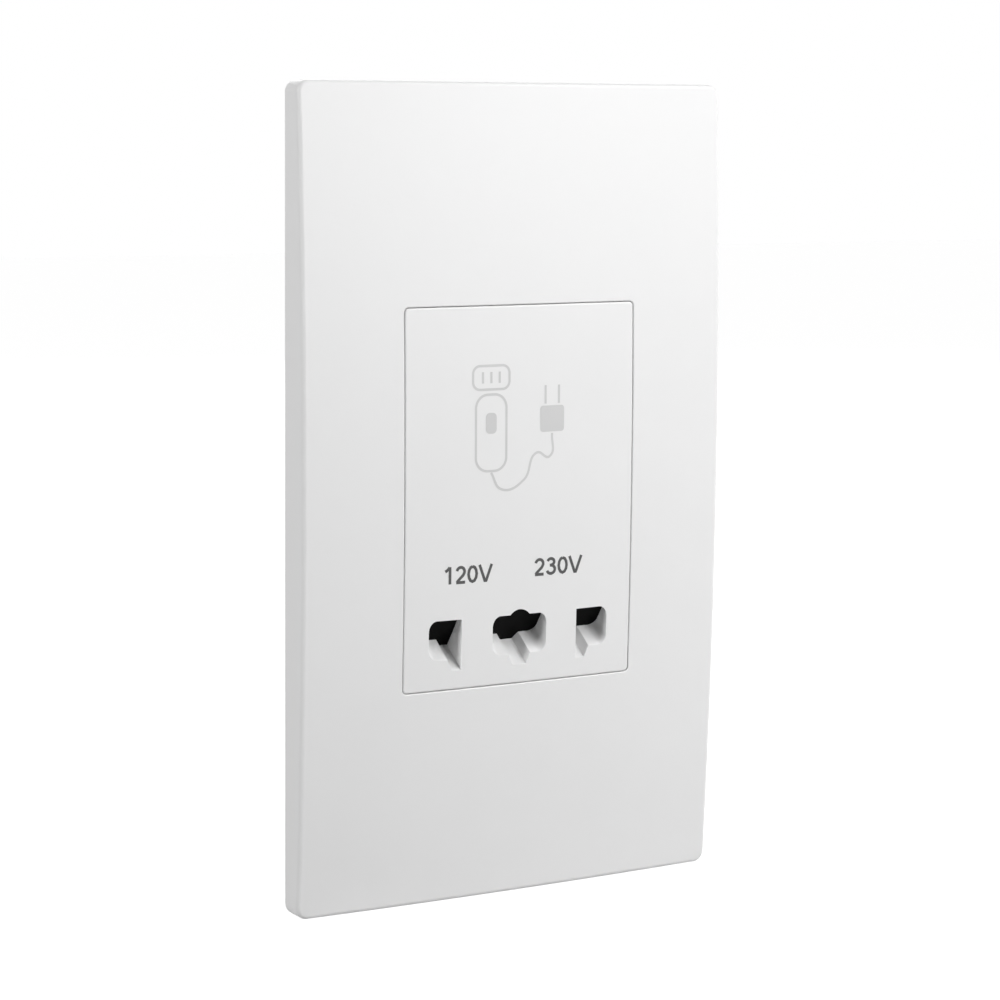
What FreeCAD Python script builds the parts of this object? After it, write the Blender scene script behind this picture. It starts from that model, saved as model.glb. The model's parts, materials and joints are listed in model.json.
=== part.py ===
import FreeCAD, Part
import math
import os

# A dual voltage shaver socket with its isolating transformer, for a two gang vertical wall box.
# Millimetres. X runs to the right, Y into the wall and Z up. The origin is the middle of the
# wall plane, halfway between the two box screws, so the front faces look along -Y.

V = FreeCAD.Vector
ORIGIN = V(0, 0, 0)
X_AXIS = V(1, 0, 0)
Y_AXIS = V(0, 1, 0)
Z_AXIS = V(0, 0, 1)

# Cover plate and its crowned front
PLATE_WIDTH = 86.0
PLATE_HEIGHT = 146.0
PLATE_CORNER_RADIUS = 2.0
PLATE_EDGE_DEPTH = 5.4
CROWN_RISE_VERTICAL = 2.2
CROWN_RISE_HORIZONTAL = 1.0
PLATE_EDGE_RADIUS = 0.7
PLATE_WINDOW_EDGE_RADIUS = 0.2
PLATE_WALL = 2.2
PLATE_SIDE_WALL = 2.0
PLATE_COLLAR_WALL = 1.4
PLATE_COLLAR_END = 4.4
PRY_SLOT_WIDTH = 9.0
PRY_SLOT_HEIGHT = 1.0

# Snap hooks between the cover plate and the support frame
HOOK_LENGTH = 10.0
HOOK_REACH = 0.9
HOOK_BACK = 1.5
HOOK_HEIGHT = 1.4
HOOK_SIDE_Z = 42.0
HOOK_END_X = 24.0
HOOK_POCKET_GAP = 0.25

# Support frame, whose rim shows as a thin line between the cover plate and the wall
RIM_THICKNESS = 0.7
RIM_SETBACK = 0.3
FRAME_GAP = 0.3
FRAME_PANEL = 2.2
FRAME_WALL = 1.6
FRAME_CROWN_GAP = 0.4
FRAME_COLLAR_END = 4.0
BOX_SCREW_SPACING = 120.6
BOX_SCREW_HOLE_RADIUS = 2.1
BOX_SCREW_PAD_RADIUS = 5.0
BOX_SCREW_PAD_RISE = 0.5

# Socket face, the insert with the inclined pin sleeves
FACE_CARRIER_GAP = 0.2
FACE_HEIGHT = 68.0
FACE_CORNER_RADIUS = 0.8
FACE_EDGE_RADIUS = 0.3
FACE_GAP = 0.12
FACE_WALL = 2.0
FACE_SKIRT_WALL = 1.5
FACE_SKIRT_END = 1.0
FACE_WINDOW_GAP = 0.5
SLEEVE_WALL = 1.0
LEG_WIDTH = 8.0
LEG_Z = (24.0, -4.0)
LEG_HOOK_REACH = 1.3
LEG_HOOK_HEIGHT = 2.6
LEG_HOOK_GAP = 0.1
LEG_HOOK_NOSE = 0.4
LEG_HOUSING_GAP = 0.5

# Pin openings, measured in the sleeves' own tilted plane from their top edge
SLEEVE_TILT = 36.0
OPENING_TOP_Z = -20.8
SHUTTER_PLANE_DEPTH = 1.0
OUTER_OPENING_INNER_X = 11.95
OUTER_OPENING_WIDTH = 6.6
MIDDLE_OPENING_HALF_WIDTH = 5.6
OPENING_CORNER_RADIUS = 1.65
OPENING_SHELF_DROP = 5.85
BLADE_NOTCH_DROP = 7.5
BLADE_NOTCH_FLAT = 1.9
BLADE_NOTCH_SHOULDER = 2.82
MIDDLE_NOTCH_FLAT = 1.45
MIDDLE_NOTCH_SHOULDER = 2.25
BUMP_RADIUS = 2.9
BUMP_RISE = 0.8

# Shutter, which slides back and down along an oblique guide
SHUTTER_GAP = 0.12
SHUTTER_THICKNESS = 2.0
SHUTTER_END_GAP = 0.95
SHUTTER_TOP = 0.35
SHUTTER_LUG_MARGIN = 0.2
SHUTTER_DROP = 9.2
GUIDE_ANGLE = 30.0
SHUTTER_TRAVEL = 9.2
STUD_RADIUS = 1.2
STUD_GAP = 0.06
STUD_DROP = 6.0
SHUTTER_POCKET_GAP = 0.35
SPRING_X = 9.5
SPRING_RADIUS = 2.1
SPRING_WIRE_RADIUS = 0.28
SPRING_LENGTH = 14.2
SPRING_TURNS = 7.5
SPRING_SEAT_RADIUS = 2.8
SPRING_SEAT_THICKNESS = 1.8
SPRING_SEAT_GAP = 0.1
SPRING_PEG_RADIUS = 1.2
SPRING_PEG_LENGTH = 2.4
CAM_ARM_HALF_WIDTH = 1.6
CAM_ARM_LENGTH = 12.2
CAM_ARM_BACK = 0.7
CAM_LOW = 1.3
CAM_RISE = 1.5

# Contact carrier behind the shutter
CARRIER_FRONT = 7.3
CARRIER_BACK = 17.6
CARRIER_TOP = 5.0
CARRIER_BOTTOM = 9.5
CHEEK_GAP = 0.3
CHEEK_THICKNESS = 2.0
CHEEK_CORNER_RADIUS = 1.0
CHEEK_TOP = -3.4
CHEEK_NOSE = (-1.0, -6.8)
CHEEK_NOSE_RADIUS = 0.6
CHEEK_NOSE_TOP = 0.4
CHEEK_TAIL_BACK = (10.4, -24.6)
CHEEK_TAIL_END = (6.8, -25.6)
CHEEK_TAIL_FRONT = (5.2, -22.6)
BEAM_THICKNESS = 2.0
BEAM_HALF_DEPTH = 2.8
TUNNEL_GAP = 0.3
TUNNEL_FLOOR = 1.0
FLANGE_FRONT = 4.7
FLANGE_THICKNESS = 2.0
FLANGE_TOP_Z = -1.5
CARRIER_SCREW_INSET = 3.3
CARRIER_SCREW_Z = -5.6
CARRIER_BOSS_RADIUS = 2.8
CARRIER_SCREW_RADIUS = 1.2
CARRIER_SCREW_DEPTH = 5.2

# Contacts, folded from brass strip
STRIP = 0.5
STRIP_GAP = 0.05
CONTACT_WIDTH = 3.2
COMMON_WIDTH = 8.0
CONTACT_SPRING_DROP = 2.9
CONTACT_TAG_LENGTH = 4.5
CONTACT_TAG_WIDTH = 2.6
CONTACT_TAG_ROOT = 1.0
CONTACT_EYE_RADIUS = 0.52
CONTACT_EYE_INSET = 1.6
CONTACT_LEAD_IN = 1.2
CONTACT_NOSE = (0.3, 1.5)
CONTACT_LEAF_RUN = 3.6
CONTACT_LEAF_END_GAP = 1.6
BEND_RADIUS = 0.5

# Switch that the shutter works
SWITCH_START = 6.9
SWITCH_LENGTH = 12.8
SWITCH_HEIGHT = 6.5
SWITCH_HALF_THICKNESS = 2.9
SWITCH_BASE = 4.1
SWITCH_CORNER_RADIUS = 0.6
PLUNGER_POSITION = 11.0
PLUNGER_RADIUS = 0.9
PLUNGER_GAP = 0.05
PLUNGER_DEPTH = 2.2
PLUNGER_END_ROOM = 0.2
CAM_GAP = 0.12
SWITCH_PEG_RADIUS = 1.0
SWITCH_PEG_SPREAD = 4.7
SWITCH_PEG_HEIGHT = 4.6
SWITCH_TAG = 3.6
SWITCH_TAG_ROOT = 1.0
SWITCH_TAG_THICKNESS = 0.5
SWITCH_RIB_THICKNESS = 1.8

# Transformer, an EI 48 core on a divided bobbin
CORE_WIDTH = 48.0
CORE_STACK = 18.0
CORE_CENTRE_Z = 24.0
COIL_FRONT = 2.15
CORE_HOLE_RADIUS = 1.8
CORE_CORNER_RADIUS = 0.6
BOBBIN_GAP = 0.3
BOBBIN_WALL = 1.2
FLANGE_SHRINK = 0.3
COIL_BUILD_GAP = 0.4
WINDING_SETBACK = 1.0
WINDING_CORNER_RADIUS = 2.5
TAPE = 0.3
PRIMARY_SHARE = 0.55
PIN_LEDGE_DROP = 2.0
PIN_LEDGE_DEPTH = 3.4
PIN_RADIUS = 0.45
PIN_GAP = 0.02
PIN_LENGTH = 5.0
PIN_ROOT = 2.4
PRIMARY_PIN_X = (-12.5, -8.0)
SECONDARY_PIN_X = (3.5, 8.0, 12.5)
CUTOUT_WIDTH = 14.0
CUTOUT_YOKE_MARGIN = 0.8
CUTOUT_LEDGE_GAP = 0.2
CUTOUT_SCREW_GAP = 4.0
CUTOUT_RADIUS = 1.0
CUTOUT_TAG = 3.0

# Rear housing
HOUSING_HEIGHT = 108.0
HOUSING_WALL = 2.0
HOUSING_CORNER_RADIUS = 4.0
HOUSING_SEAT_DEPTH = 0.4
HOUSING_SEAT_GAP = 0.2
HOUSING_BACK_RADIUS = 2.6
CORE_SIDE_GAP = 3.0
CORE_SHOULDER_GAP = 0.9
COIL_BACK_GAP = 2.15
BLOCK_SIDE_GAP = 0.8
COLUMN_RADIUS = 3.4
COLUMN_INSET = 4.6
COLUMN_LENGTH = 16.0
SCREW_PILOT_RADIUS = 1.35
SCREW_RADIUS = 1.3
SCREW_CLEAR_RADIUS = 1.7
SCREW_HEAD_RADIUS = 2.8
SCREW_HEAD_HEIGHT = 1.5
HOUSING_SCREW_LENGTH = 11.0
CORE_SCREW_BITE = 5.0
CORE_BOSS_RADIUS = 3.2
VENT_WIDTH = 2.0
VENT_START = 6.0
VENT_LENGTH = 18.0
VENT_PITCH = 5.0
VENT_COUNT = 7
CROSS_SLOT = 0.7

# Mains terminals at the bottom of the housing
TERMINAL_PITCH = 13.0
TERMINAL_WIDTH = 8.0
TERMINAL_DEPTH = 9.0
TERMINAL_HEIGHT = 8.0
TERMINAL_BORE_RADIUS = 2.1
TERMINAL_SEAT = 1.4
TERMINAL_SCREW_RADIUS = 1.7
TERMINAL_SCREW_GAP = 0.05
TERMINAL_HEAD_RADIUS = 2.5
TERMINAL_HEAD_HEIGHT = 1.8
TERMINAL_BACKED_OFF = 0.4
TERMINAL_BLOCK_WALL = 1.6
TERMINAL_CELL_GAP = 0.1
TERMINAL_BACK_GAP = 3.6
TERMINAL_BOTTOM_GAP = 1.2
ENTRY_RADIUS = 3.4
DRIVER_RADIUS = 3.0

# Inner wiring
LEAD_RADIUS = 0.6
LEAD_WAY_GAP = 0.15
LEAD_BEND_SHARE = 0.45
LEAD_SIDE_GAP = 1.8
LEAD_TERMINAL_RISE = 2.0

# Sizes worked out from those above
FRONT_DEPTH = PLATE_EDGE_DEPTH + CROWN_RISE_VERTICAL + CROWN_RISE_HORIZONTAL
CROWN_RADIUS_V = ((PLATE_HEIGHT / 2) ** 2 + CROWN_RISE_VERTICAL ** 2) / (2 * CROWN_RISE_VERTICAL)
CROWN_RADIUS_H = ((PLATE_WIDTH / 2) ** 2 + CROWN_RISE_HORIZONTAL ** 2) / (2 * CROWN_RISE_HORIZONTAL)
MARGIN = 5.0
SHUTTER_HALF_WIDTH = OUTER_OPENING_INNER_X + OUTER_OPENING_WIDTH + SHUTTER_END_GAP
CHEEK_INNER = SHUTTER_HALF_WIDTH + CHEEK_GAP
CHEEK_OUTER = CHEEK_INNER + CHEEK_THICKNESS
CARRIER_SCREW_X = CHEEK_INNER - CARRIER_SCREW_INSET
FACE_WIDTH = 2 * (CHEEK_OUTER + FACE_CARRIER_GAP + FACE_SKIRT_WALL)
FRAME_WINDOW_WIDTH = FACE_WIDTH + 2 * FACE_WINDOW_GAP
FRAME_WINDOW_HEIGHT = FACE_HEIGHT + 2 * FACE_WINDOW_GAP
SHUTTER_MIDDLE = SHUTTER_GAP + SHUTTER_THICKNESS / 2
SEAT_LEVEL = SHUTTER_THICKNESS / 2 * math.sin(math.radians(GUIDE_ANGLE)) + SPRING_SEAT_GAP
CORE_HEIGHT = CORE_WIDTH * 5 / 6
CORE_LEG = CORE_WIDTH / 3
CORE_YOKE = CORE_WIDTH / 6
WINDOW_HEIGHT = CORE_HEIGHT - 2 * CORE_YOKE
WINDOW_WIDTH = CORE_WIDTH / 2 - CORE_YOKE - CORE_LEG / 2
COIL_HALF_X = CORE_LEG / 2 + WINDOW_WIDTH - FLANGE_SHRINK
COIL_HALF_Y = CORE_STACK / 2 + WINDOW_WIDTH - COIL_BUILD_GAP
CORE_CENTRE_Y = COIL_FRONT + COIL_HALF_Y
CORE_FRONT = CORE_CENTRE_Y - CORE_STACK / 2
CORE_BACK = CORE_CENTRE_Y + CORE_STACK / 2
CUTOUT_HEIGHT = CORE_YOKE - 2 * CUTOUT_YOKE_MARGIN
CUTOUT_DEPTH = CORE_FRONT - COIL_FRONT - PIN_LEDGE_DEPTH - CUTOUT_LEDGE_GAP
CORE_SPACE = CORE_WIDTH / 2 + CORE_SIDE_GAP
HOOK_SPACE = FACE_WIDTH / 2 + LEG_HOOK_REACH + LEG_HOUSING_GAP
HOUSING_INNER_SIDE = max(CORE_SPACE, HOOK_SPACE)
HOUSING_WIDTH = 2 * (HOUSING_INNER_SIDE + HOUSING_WALL)
HOUSING_INNER_BACK = CORE_CENTRE_Y + COIL_HALF_Y + COIL_BACK_GAP
HOUSING_DEPTH = HOUSING_INNER_BACK + HOUSING_WALL
SHOULDER_EASE = math.sqrt(2) - 1
HOUSING_SHOULDER = CORE_BACK + CORE_SHOULDER_GAP - CORE_SIDE_GAP + HOUSING_WALL * SHOULDER_EASE
BLOCK_HALF_WIDTH = TERMINAL_PITCH + TERMINAL_WIDTH / 2 + TERMINAL_CELL_GAP + TERMINAL_BLOCK_WALL
HOUSING_BACK_WIDTH = 2 * (BLOCK_HALF_WIDTH + BLOCK_SIDE_GAP + HOUSING_WALL)
COLUMN_X = HOUSING_WIDTH / 2 - COLUMN_INSET
COLUMN_Z = HOUSING_HEIGHT / 2 - COLUMN_INSET
CORE_BOTTOM = CORE_CENTRE_Z - CORE_HEIGHT / 2
CORE_HOLE_X = CORE_WIDTH / 2 - CORE_YOKE / 2
CORE_HOLE_Z = CORE_HEIGHT / 2 - CORE_YOKE / 2
CUTOUT_X = CUTOUT_SCREW_GAP + CUTOUT_WIDTH / 2 - CORE_HOLE_X
BOBBIN_HEIGHT = WINDOW_HEIGHT - 2 * BOBBIN_GAP
BOBBIN_BOTTOM = CORE_CENTRE_Z - BOBBIN_HEIGHT / 2
TERMINAL_BACK = HOUSING_INNER_BACK - TERMINAL_BACK_GAP
TERMINAL_FRONT = TERMINAL_BACK - TERMINAL_DEPTH
TERMINAL_BOTTOM = -HOUSING_HEIGHT / 2 + HOUSING_WALL + TERMINAL_BOTTOM_GAP + TERMINAL_SEAT
TERMINAL_TOP = TERMINAL_BOTTOM + TERMINAL_HEIGHT
TERMINAL_BORE_Y = TERMINAL_FRONT + TERMINAL_SEAT + TERMINAL_BORE_RADIUS
TERMINAL_NAMES = ("terminal_neutral", "terminal_earth", "terminal_live")


def crown_y(x, z):
    """Where the crowned front surface stands at a place on the plate."""
    fall_v = CROWN_RADIUS_V - math.sqrt(CROWN_RADIUS_V ** 2 - z ** 2)
    fall_h = CROWN_RADIUS_H - math.sqrt(CROWN_RADIUS_H ** 2 - x ** 2)
    return -FRONT_DEPTH + fall_v + fall_h


SHUTTER_ORIGIN = V(0, crown_y(0, OPENING_TOP_Z) + SHUTTER_PLANE_DEPTH, OPENING_TOP_Z)


def span_box(x, y, z):
    """A box from three pairs of limits."""
    size = V(x[1] - x[0], y[1] - y[0], z[1] - z[0])
    return Part.makeBox(size.x, size.y, size.z, V(x[0], y[0], z[0]))


def rod(radius, start, direction, length):
    """A round bar."""
    return Part.makeCylinder(radius, length, start, direction)


def rounded_wire(corners, place):
    """A closed outline of straight runs with an arc at each corner whose radius isn't nought."""
    edges = []
    joints = []
    count = len(corners)
    for i in range(count):
        before = V(*corners[i - 1][:2], 0)
        here = V(*corners[i][:2], 0)
        after = V(*corners[(i + 1) % count][:2], 0)
        radius = corners[i][2]
        back = (before - here).normalize()
        ahead = (after - here).normalize()
        if radius == 0:
            joints.append((here, None, here))
            continue
        half = back.getAngle(ahead) / 2
        reach = radius / math.tan(half)
        middle = here + (back + ahead).normalize() * (radius / math.sin(half) - radius)
        joints.append((here + back * reach, middle, here + ahead * reach))
    for i in range(count):
        start, middle, end = joints[i]
        if middle is not None:
            edges.append(Part.Arc(place(start), place(middle), place(end)).toShape())
        following = joints[(i + 1) % count][0]
        if (following - end).Length > 1e-6:
            edges.append(Part.makeLine(place(end), place(following)))
    return Part.Wire(edges)


def prism_y(corners, y0, y1):
    """An outline in X and Z, drawn out from y0 to y1."""
    wire = rounded_wire(corners, lambda p: V(p.x, y0, p.y))
    return Part.Face(wire).extrude(V(0, y1 - y0, 0))


def prism_x(corners, x0, x1):
    """An outline in Y and Z, drawn out from x0 to x1."""
    wire = rounded_wire(corners, lambda p: V(x0, p.x, p.y))
    return Part.Face(wire).extrude(V(x1 - x0, 0, 0))


def rounded_rectangle(width, height, radius, centre=(0.0, 0.0)):
    """The four corners of a rounded rectangle."""
    a = width / 2
    b = height / 2
    cx, cz = centre
    return [(cx - a, cz - b, radius), (cx + a, cz - b, radius), (cx + a, cz + b, radius),
            (cx - a, cz + b, radius)]


def block_y(width, height, radius, y0, y1, centre=(0.0, 0.0)):
    """A rounded rectangle drawn out along Y."""
    return prism_y(rounded_rectangle(width, height, radius, centre), y0, y1)


def crowned_space(inset):
    """All that lies behind the crowned front surface, moved inwards by inset."""
    front = -FRONT_DEPTH + inset
    radius_h = CROWN_RADIUS_H - inset
    radius_v = CROWN_RADIUS_V - inset
    reach = PLATE_WIDTH
    sag = radius_h - math.sqrt(radius_h ** 2 - reach ** 2)
    left = V(-reach, front + sag, 0)
    right = V(reach, front + sag, 0)
    back_left = V(-reach, HOUSING_DEPTH, 0)
    back_right = V(reach, HOUSING_DEPTH, 0)
    arc = Part.Arc(left, V(0, front, 0), right).toShape()
    sides = [Part.makeLine(right, back_right), Part.makeLine(back_right, back_left),
            Part.makeLine(back_left, left)]
    face = Part.Face(Part.Wire([arc] + sides))
    centre = V(0, front + radius_v, 0)
    swing = math.degrees(math.asin(PLATE_HEIGHT / radius_v))
    face.rotate(centre, X_AXIS, -swing)
    return face.revolve(centre, X_AXIS, 2 * swing)


def in_sleeve_frame(shape):
    """Turns a shape from sleeve coordinates, Y along the sleeve and Z up its plane, to the row's."""
    shape.rotate(ORIGIN, X_AXIS, SLEEVE_TILT)
    shape.translate(SHUTTER_ORIGIN)
    return shape


def in_slide_frame(shape):
    """Turns a shape from guide coordinates, -Z along the shutter's travel, to the row's."""
    shape.translate(V(0, 0, -SEAT_LEVEL))
    shape.rotate(ORIGIN, X_AXIS, GUIDE_ANGLE)
    shape.translate(V(0, SHUTTER_MIDDLE, -SHUTTER_DROP))
    return in_sleeve_frame(shape)


def front_edges(shape, limit):
    """The edges that lie wholly in front of a plane."""
    return [edge for edge in shape.Edges if edge.BoundBox.YMax < limit]


def window_edges(plate, width, height):
    """The front edges round the cover plate's window."""
    reach_x = width / 2 + PLATE_COLLAR_WALL / 2
    reach_z = height / 2 + PLATE_COLLAR_WALL / 2
    edges = front_edges(plate, -PLATE_COLLAR_END - PLATE_WINDOW_EDGE_RADIUS)
    boxes = [(edge, edge.BoundBox) for edge in edges]
    return [edge for edge, box in boxes
            if max(-box.XMin, box.XMax) < reach_x and max(-box.ZMin, box.ZMax) < reach_z]


def outer_outline(side):
    """One outer opening: a round pin's slot with the flat blade's notch on its inner side."""
    inner = side * OUTER_OPENING_INNER_X
    outer = side * (OUTER_OPENING_INNER_X + OUTER_OPENING_WIDTH)
    return [
        (inner, 0, 0),
        (outer, 0, OPENING_CORNER_RADIUS),
        (outer, -OPENING_SHELF_DROP, OPENING_CORNER_RADIUS),
        (inner + side * BLADE_NOTCH_SHOULDER, -OPENING_SHELF_DROP, 0),
        (inner + side * BLADE_NOTCH_FLAT, -BLADE_NOTCH_DROP, 0),
        (inner, -BLADE_NOTCH_DROP, 0),
    ]


def middle_outline():
    """The shared middle opening, with the notch in the middle of its floor."""
    w = MIDDLE_OPENING_HALF_WIDTH
    return [
        (-w, 0, OPENING_CORNER_RADIUS),
        (w, 0, OPENING_CORNER_RADIUS),
        (w, -OPENING_SHELF_DROP, OPENING_CORNER_RADIUS),
        (MIDDLE_NOTCH_SHOULDER, -OPENING_SHELF_DROP, 0),
        (MIDDLE_NOTCH_FLAT, -BLADE_NOTCH_DROP, 0),
        (-MIDDLE_NOTCH_FLAT, -BLADE_NOTCH_DROP, 0),
        (-MIDDLE_NOTCH_SHOULDER, -OPENING_SHELF_DROP, 0),
        (-w, -OPENING_SHELF_DROP, OPENING_CORNER_RADIUS),
    ]


def opening_tool(corners, grow, y0, y1, bump):
    """The prism of one opening in sleeve coordinates, grown on every side."""
    wire = rounded_wire(corners, lambda p: V(p.x, y0, p.y))
    face = Part.Face(wire)
    if grow > 0:
        face = face.makeOffset2D(grow)
    tool = face.extrude(V(0, y1 - y0, 0))
    if bump:
        centre = V(0, y0, BUMP_RISE - BUMP_RADIUS)
        tool = tool.fuse(rod(BUMP_RADIUS + grow, centre, Y_AXIS, y1 - y0)).removeSplitter()
    return tool


def opening_set(grow, y0, y1):
    """The three openings side by side."""
    tools = []
    for corners, bump in ((outer_outline(-1), False), (middle_outline(), True), (outer_outline(1), False)):
        tools.append(opening_tool(corners, grow, y0, y1, bump))
    return tools


def hook_places():
    """The snap hooks round the plate: place along the edge, and which edge by its outward direction."""
    places = []
    for side in (-1, 1):
        for along in (-1, 1):
            places.append((V(side, 0, 0), along * HOOK_SIDE_Z))
            places.append((V(0, 0, side), along * HOOK_END_X))
    return places


def hook(outward, along, grow):
    """A wedge on the inside of the cover plate's wall, or the pocket that takes it."""
    half = (PLATE_WIDTH if outward.x else PLATE_HEIGHT) / 2 - PLATE_SIDE_WALL
    back = -HOOK_BACK + grow
    front = -HOOK_BACK - HOOK_HEIGHT - grow
    tip = half - HOOK_REACH - grow
    length = HOOK_LENGTH / 2 + grow
    start = V(half + FRAME_GAP, back, -length)
    nose = -HOOK_BACK - HOOK_HEIGHT / 2 - grow
    points = [start, V(tip, back, -length), V(tip, nose, -length), V(half + FRAME_GAP, front, -length)]
    wedge = Part.Face(Part.makePolygon(points + [start])).extrude(V(0, 0, 2 * length))
    wedge.translate(V(0, 0, along))
    turn = math.degrees(math.atan2(outward.z, outward.x))
    wedge.rotate(ORIGIN, Y_AXIS, -turn)
    return wedge


def front_plate():
    """The crowned cover plate: a thin shell with a window collar, snap hooks and a prying slot."""
    crown_front = -FRONT_DEPTH - MARGIN
    back = -RIM_THICKNESS
    outer = block_y(PLATE_WIDTH, PLATE_HEIGHT, PLATE_CORNER_RADIUS, crown_front, back)
    outer = outer.common(crowned_space(0))
    outer = outer.makeFillet(PLATE_EDGE_RADIUS, front_edges(outer, back - PLATE_EDGE_RADIUS))
    inner_width = PLATE_WIDTH - 2 * PLATE_SIDE_WALL
    inner_height = PLATE_HEIGHT - 2 * PLATE_SIDE_WALL
    inner_radius = PLATE_CORNER_RADIUS / 2
    hollow = block_y(inner_width, inner_height, inner_radius, crown_front,
            MARGIN).common(crowned_space(PLATE_WALL))
    window_width = FACE_WIDTH + 2 * FACE_GAP
    window_height = FACE_HEIGHT + 2 * FACE_GAP
    collar_width = window_width + 2 * PLATE_COLLAR_WALL
    collar_height = window_height + 2 * PLATE_COLLAR_WALL
    collar = block_y(collar_width, collar_height, FACE_CORNER_RADIUS, crown_front, -PLATE_COLLAR_END)
    plate = outer.cut(hollow.cut(collar))
    plate = plate.cut(block_y(window_width, window_height, FACE_CORNER_RADIUS + FACE_GAP, crown_front,
            MARGIN))
    plate = plate.makeFillet(PLATE_WINDOW_EDGE_RADIUS, window_edges(plate, window_width, window_height))
    plate = plate.fuse([hook(*place, 0) for place in hook_places()])
    slot_z = -PLATE_HEIGHT / 2
    slot_x = PRY_SLOT_WIDTH / 2
    slot = span_box((-slot_x, slot_x), (back - PRY_SLOT_HEIGHT, 0),
            (slot_z - MARGIN, slot_z + PLATE_SIDE_WALL + MARGIN))
    return plate.cut(slot).removeSplitter()


def box_screw_places():
    """The two fixing screws of the wall box."""
    return [V(0, 0, sign * BOX_SCREW_SPACING / 2) for sign in (-1, 1)]


def column_places():
    """The four corner columns of the housing."""
    return [V(sx * COLUMN_X, 0, sz * COLUMN_Z) for sx in (-1, 1) for sz in (-1, 1)]


def support_frame():
    """The frame against the wall, with its rim, its raised walls and the module's window."""
    rim_width = PLATE_WIDTH - 2 * RIM_SETBACK
    rim_height = PLATE_HEIGHT - 2 * RIM_SETBACK
    frame = block_y(rim_width, rim_height, PLATE_CORNER_RADIUS - RIM_SETBACK, -RIM_THICKNESS, 0)
    tray_width = PLATE_WIDTH - 2 * PLATE_SIDE_WALL - 2 * FRAME_GAP
    tray_height = PLATE_HEIGHT - 2 * PLATE_SIDE_WALL - 2 * FRAME_GAP
    tray_radius = PLATE_CORNER_RADIUS / 2
    tray = block_y(tray_width, tray_height, tray_radius, -FRONT_DEPTH, 0)
    dish_width = tray_width - 2 * FRAME_WALL
    dish_height = tray_height - 2 * FRAME_WALL
    dish = block_y(dish_width, dish_height, tray_radius, -FRONT_DEPTH - MARGIN, -FRAME_PANEL)
    collar_width = FRAME_WINDOW_WIDTH + 2 * FRAME_WALL
    collar_height = FRAME_WINDOW_HEIGHT + 2 * FRAME_WALL
    collar = block_y(collar_width, collar_height, FACE_CORNER_RADIUS, -FRAME_COLLAR_END, 0)
    tray = tray.cut(dish).fuse(collar).common(crowned_space(PLATE_WALL + FRAME_CROWN_GAP))
    frame = frame.fuse(tray)
    frame = frame.cut(block_y(FRAME_WINDOW_WIDTH, FRAME_WINDOW_HEIGHT, FACE_CORNER_RADIUS, -FRONT_DEPTH,
            MARGIN))
    seat_width = HOUSING_WIDTH + 2 * HOUSING_SEAT_GAP
    seat_height = HOUSING_HEIGHT + 2 * HOUSING_SEAT_GAP
    seat_radius = HOUSING_CORNER_RADIUS + HOUSING_SEAT_GAP
    frame = frame.cut(block_y(seat_width, seat_height, seat_radius, -HOUSING_SEAT_DEPTH, MARGIN))
    pads = [
        rod(BOX_SCREW_PAD_RADIUS, place - V(0, FRAME_PANEL + BOX_SCREW_PAD_RISE, 0), Y_AXIS,
                BOX_SCREW_PAD_RISE)
        for place in box_screw_places()
    ]
    frame = frame.fuse(pads)
    holes = [rod(BOX_SCREW_HOLE_RADIUS, place - V(0, FRONT_DEPTH, 0), Y_AXIS, 2 * FRONT_DEPTH)
             for place in box_screw_places()]
    holes += [rod(SCREW_CLEAR_RADIUS, place - V(0, FRONT_DEPTH, 0), Y_AXIS, 2 * FRONT_DEPTH)
              for place in column_places()]
    pockets = [hook(*place, HOOK_POCKET_GAP) for place in hook_places()]
    return frame.cut(holes + pockets).removeSplitter()


def face_leg(side, z):
    """A sprung leg at the side of the socket face, hooked behind the support frame."""
    outer = FACE_WIDTH / 2
    inner = outer - FACE_SKIRT_WALL
    start = -FACE_SKIRT_END - FACE_WALL
    end = LEG_HOOK_GAP + LEG_HOOK_HEIGHT
    tip = outer + LEG_HOOK_REACH
    points = [
        V(inner, start, 0),
        V(outer, start, 0),
        V(outer, LEG_HOOK_GAP, 0),
        V(tip, LEG_HOOK_GAP, 0),
        V(tip, LEG_HOOK_GAP + LEG_HOOK_NOSE, 0),
        V(outer, end, 0),
        V(inner, end, 0),
    ]
    leg = Part.Face(Part.makePolygon(points + [points[0]])).extrude(V(0, 0, LEG_WIDTH))
    leg.translate(V(0, 0, z - LEG_WIDTH / 2))
    return leg if side > 0 else leg.mirror(ORIGIN, X_AXIS)


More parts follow.
